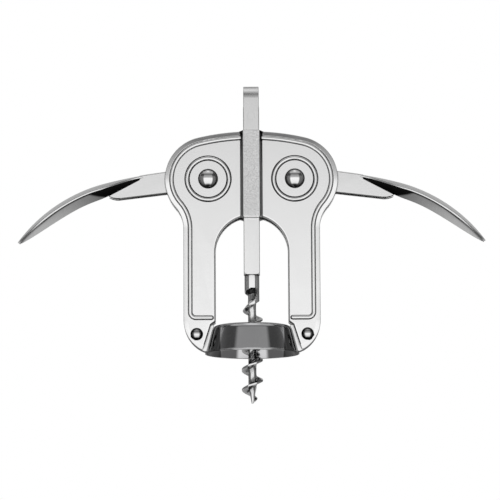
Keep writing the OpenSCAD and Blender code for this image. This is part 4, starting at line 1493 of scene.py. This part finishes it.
def studio_world():
    """White to the camera; metal sees a bright window in front, dark sides and a dim back."""
    world = bpy.data.worlds.new("studio")
    bpy.context.scene.world = world
    world.use_nodes = True
    tree = world.node_tree
    axis = add(tree, "ShaderNodeSeparateXYZ")
    link(tree, add(tree, "ShaderNodeTexCoord").outputs["Generated"], axis.inputs[0])
    x, y, z = axis.outputs
    height = maths(tree, "MULTIPLY", maths(tree, "ARCSINE", z), 180 / pi)
    around = maths(tree, "ARCTAN2", maths(tree, "ABSOLUTE", x), maths(tree, "MULTIPLY", y, -1.0))
    around = maths(tree, "MULTIPLY", around, 180 / pi)
    level = curve(tree, height, FRONT_LIGHT, -90, 90)
    for light, start, end in TURNS:
        share = curve(tree, around, ((0, 0), (start, 0), (end, 1), (180, 1)), 0, 180)
        level = blend(tree, share, level, curve(tree, height, light, -90, 90))
    strip = maths(tree, "MULTIPLY", curve(tree, y, STRIP_Y, -1, 1), curve(tree, z, STRIP_Z, -1, 1))
    level = blend(tree, strip, level, STRIP_LEVEL)
    paths = add(tree, "ShaderNodeLightPath")
    lit = blend(tree, paths.outputs["Is Glossy Ray"], ROOM_LEVEL, level)
    seen = blend(tree, paths.outputs["Is Camera Ray"], lit, 1.0)
    link(tree, seen, tree.nodes["Background"].inputs["Color"])


def studio_floor(settings):
    """Pale disc under the worm's tip that metal doesn't see."""
    fresh()
    bpy.ops.mesh.primitive_circle_add(
        vertices=96, radius=FLOOR_R, fill_type="NGON",
        location=(0, 0, WORM_LOW.z - settings.drop),
    )
    bpy.ops.object.transform_apply()
    floor = leave("floor")
    material = bpy.data.materials.new("pale floor")
    material.use_nodes = True
    tree = material.node_tree
    shader = tree.nodes["Principled BSDF"]
    shader.inputs["Roughness"].default_value = 0.8
    place = add(tree, "ShaderNodeTexCoord").outputs["Object"]
    noise = add(tree, "ShaderNodeTexNoise", Scale=60.0, Detail=4.0)
    link(tree, place, noise.inputs["Vector"])
    pale = bpy.context.scene.corkscrew_finishes.floor
    tone = add(tree, "ShaderNodeMix", data_type="RGBA")
    tone.inputs[6].default_value = (*[c * 0.98 for c in pale], 1)
    tone.inputs[7].default_value = (*pale, 1)
    link(tree, noise.outputs["Fac"], tone.inputs[0])
    link(tree, tone.outputs[2], shader.inputs["Base Color"])
    clear = add(tree, "ShaderNodeBsdfTransparent")
    cover = add(tree, "ShaderNodeMixShader")
    below = add(tree, "ShaderNodeNewGeometry").outputs["Backfacing"]
    glossy = add(tree, "ShaderNodeLightPath").outputs["Is Glossy Ray"]
    link(tree, maths(tree, "MAXIMUM", below, glossy), cover.inputs[0])
    link(tree, shader.outputs[0], cover.inputs[1])
    link(tree, clear.outputs[0], cover.inputs[2])
    link(tree, cover.outputs[0], tree.nodes["Material Output"].inputs["Surface"])
    spot = add(tree, "ShaderNodeVectorMath", operation="LENGTH")
    link(tree, place, spot.inputs[0])
    fade = add(tree, "ShaderNodeMapRange", From_Min=FLOOR_CLEAR, From_Max=FLOOR_GONE, To_Min=1.0,
               To_Max=0.0, interpolation_type="SMOOTHSTEP")
    link(tree, spot.outputs["Value"], fade.inputs["Value"])
    link(tree, fade.outputs["Result"], shader.inputs["Alpha"])
    floor.data.materials.append(material)


def studio_camera(settings):
    """Camera that looks at the target from in front, at its height angle and roll."""
    up, target = settings.elevation, Vector(settings.target)
    back = Vector((0, -cos(up), sin(up)))
    lens = bpy.data.cameras.new("camera")
    camera = bpy.data.objects.new("camera", lens)
    bpy.context.scene.collection.objects.link(camera)
    camera.location = target + back * settings.distance
    look = back.to_track_quat("Z", "Y").to_matrix().to_4x4()
    roll = Matrix.Rotation(settings.roll, 4, "Z")
    camera.matrix_world = Matrix.Translation(camera.location) @ look @ roll
    lens.sensor_width = SENSOR
    lens.lens = SENSOR * settings.distance / settings.frame_width
    lens.clip_start, lens.clip_end = 0.01, 20
    bpy.context.scene.camera = camera


def studio_lamp():
    """Wide soft lamp above, which metal doesn't see."""
    light = bpy.data.lights.new("top lamp", "AREA")
    light.energy, light.size = LAMP_POWER, LAMP_SIZE
    lamp = bpy.data.objects.new("top lamp", light)
    lamp.location = LAMP_PLACE
    lamp.visible_glossy = False
    bpy.context.scene.collection.objects.link(lamp)


class SCENE_OT_corkscrew_stage(Operator):
    """Sets the camera, the studio's light and the pale floor"""

    bl_idname = "scene.corkscrew_stage"
    bl_label = "Studio"

    def execute(self, context):
        settings = context.scene.corkscrew_stage
        context.scene.view_settings.view_transform = "Standard"
        studio_world()
        studio_floor(settings)
        studio_camera(settings)
        studio_lamp()
        return {"FINISHED"}


class VIEW3D_PT_corkscrew(Panel):
    """Lists the pieces and their sizes"""

    bl_label = "Wing corkscrew"
    bl_idname = "VIEW3D_PT_corkscrew"
    bl_space_type = "VIEW_3D"
    bl_region_type = "UI"
    bl_category = "Corkscrew"

    def draw(self, context):
        for operator in OPERATORS:
            self.layout.operator(operator.bl_idname)
        for name in SETTINGS:
            box = self.layout.box()
            group = getattr(context.scene, name)
            box.label(text=type(group).__doc__.rstrip("."))
            for field in type(group).__annotations__:
                box.prop(group, field)


OPERATORS = (
    MESH_OT_corkscrew_plates, MESH_OT_corkscrew_collar, MESH_OT_corkscrew_rivets,
    MESH_OT_corkscrew_levers, MESH_OT_corkscrew_bar, MESH_OT_corkscrew_worm,
    MESH_OT_corkscrew_loop, MESH_OT_corkscrew_hidden, SCENE_OT_corkscrew_stage,
)
SETTINGS = {
    "corkscrew_plates": CorkscrewPlates, "corkscrew_levers": CorkscrewLevers,
    "corkscrew_collar": CorkscrewCollar, "corkscrew_worm": CorkscrewWorm,
    "corkscrew_finishes": CorkscrewFinishes, "corkscrew_stage": CorkscrewStage,
}


def register():
    """Registers the sizes, the operators and the panel."""
    for item in (*SETTINGS.values(), *OPERATORS, VIEW3D_PT_corkscrew):
        bpy.utils.register_class(item)
    for name, group in SETTINGS.items():
        setattr(bpy.types.Scene, name, PointerProperty(type=group))


def unregister():
    """Takes them out again."""
    for name in SETTINGS:
        delattr(bpy.types.Scene, name)
    for item in reversed((*SETTINGS.values(), *OPERATORS, VIEW3D_PT_corkscrew)):
        bpy.utils.unregister_class(item)


def main():
    """Registers everything and models the pieces and the stage."""
    register()
    bpy.ops.mesh.corkscrew_plates()
    bpy.ops.mesh.corkscrew_collar()
    bpy.ops.mesh.corkscrew_rivets()
    bpy.ops.mesh.corkscrew_levers()
    bpy.ops.mesh.corkscrew_bar()
    bpy.ops.mesh.corkscrew_worm()
    bpy.ops.mesh.corkscrew_loop()
    bpy.ops.mesh.corkscrew_hidden()
    bpy.ops.scene.corkscrew_stage()


if __name__ == "__main__":
    main()
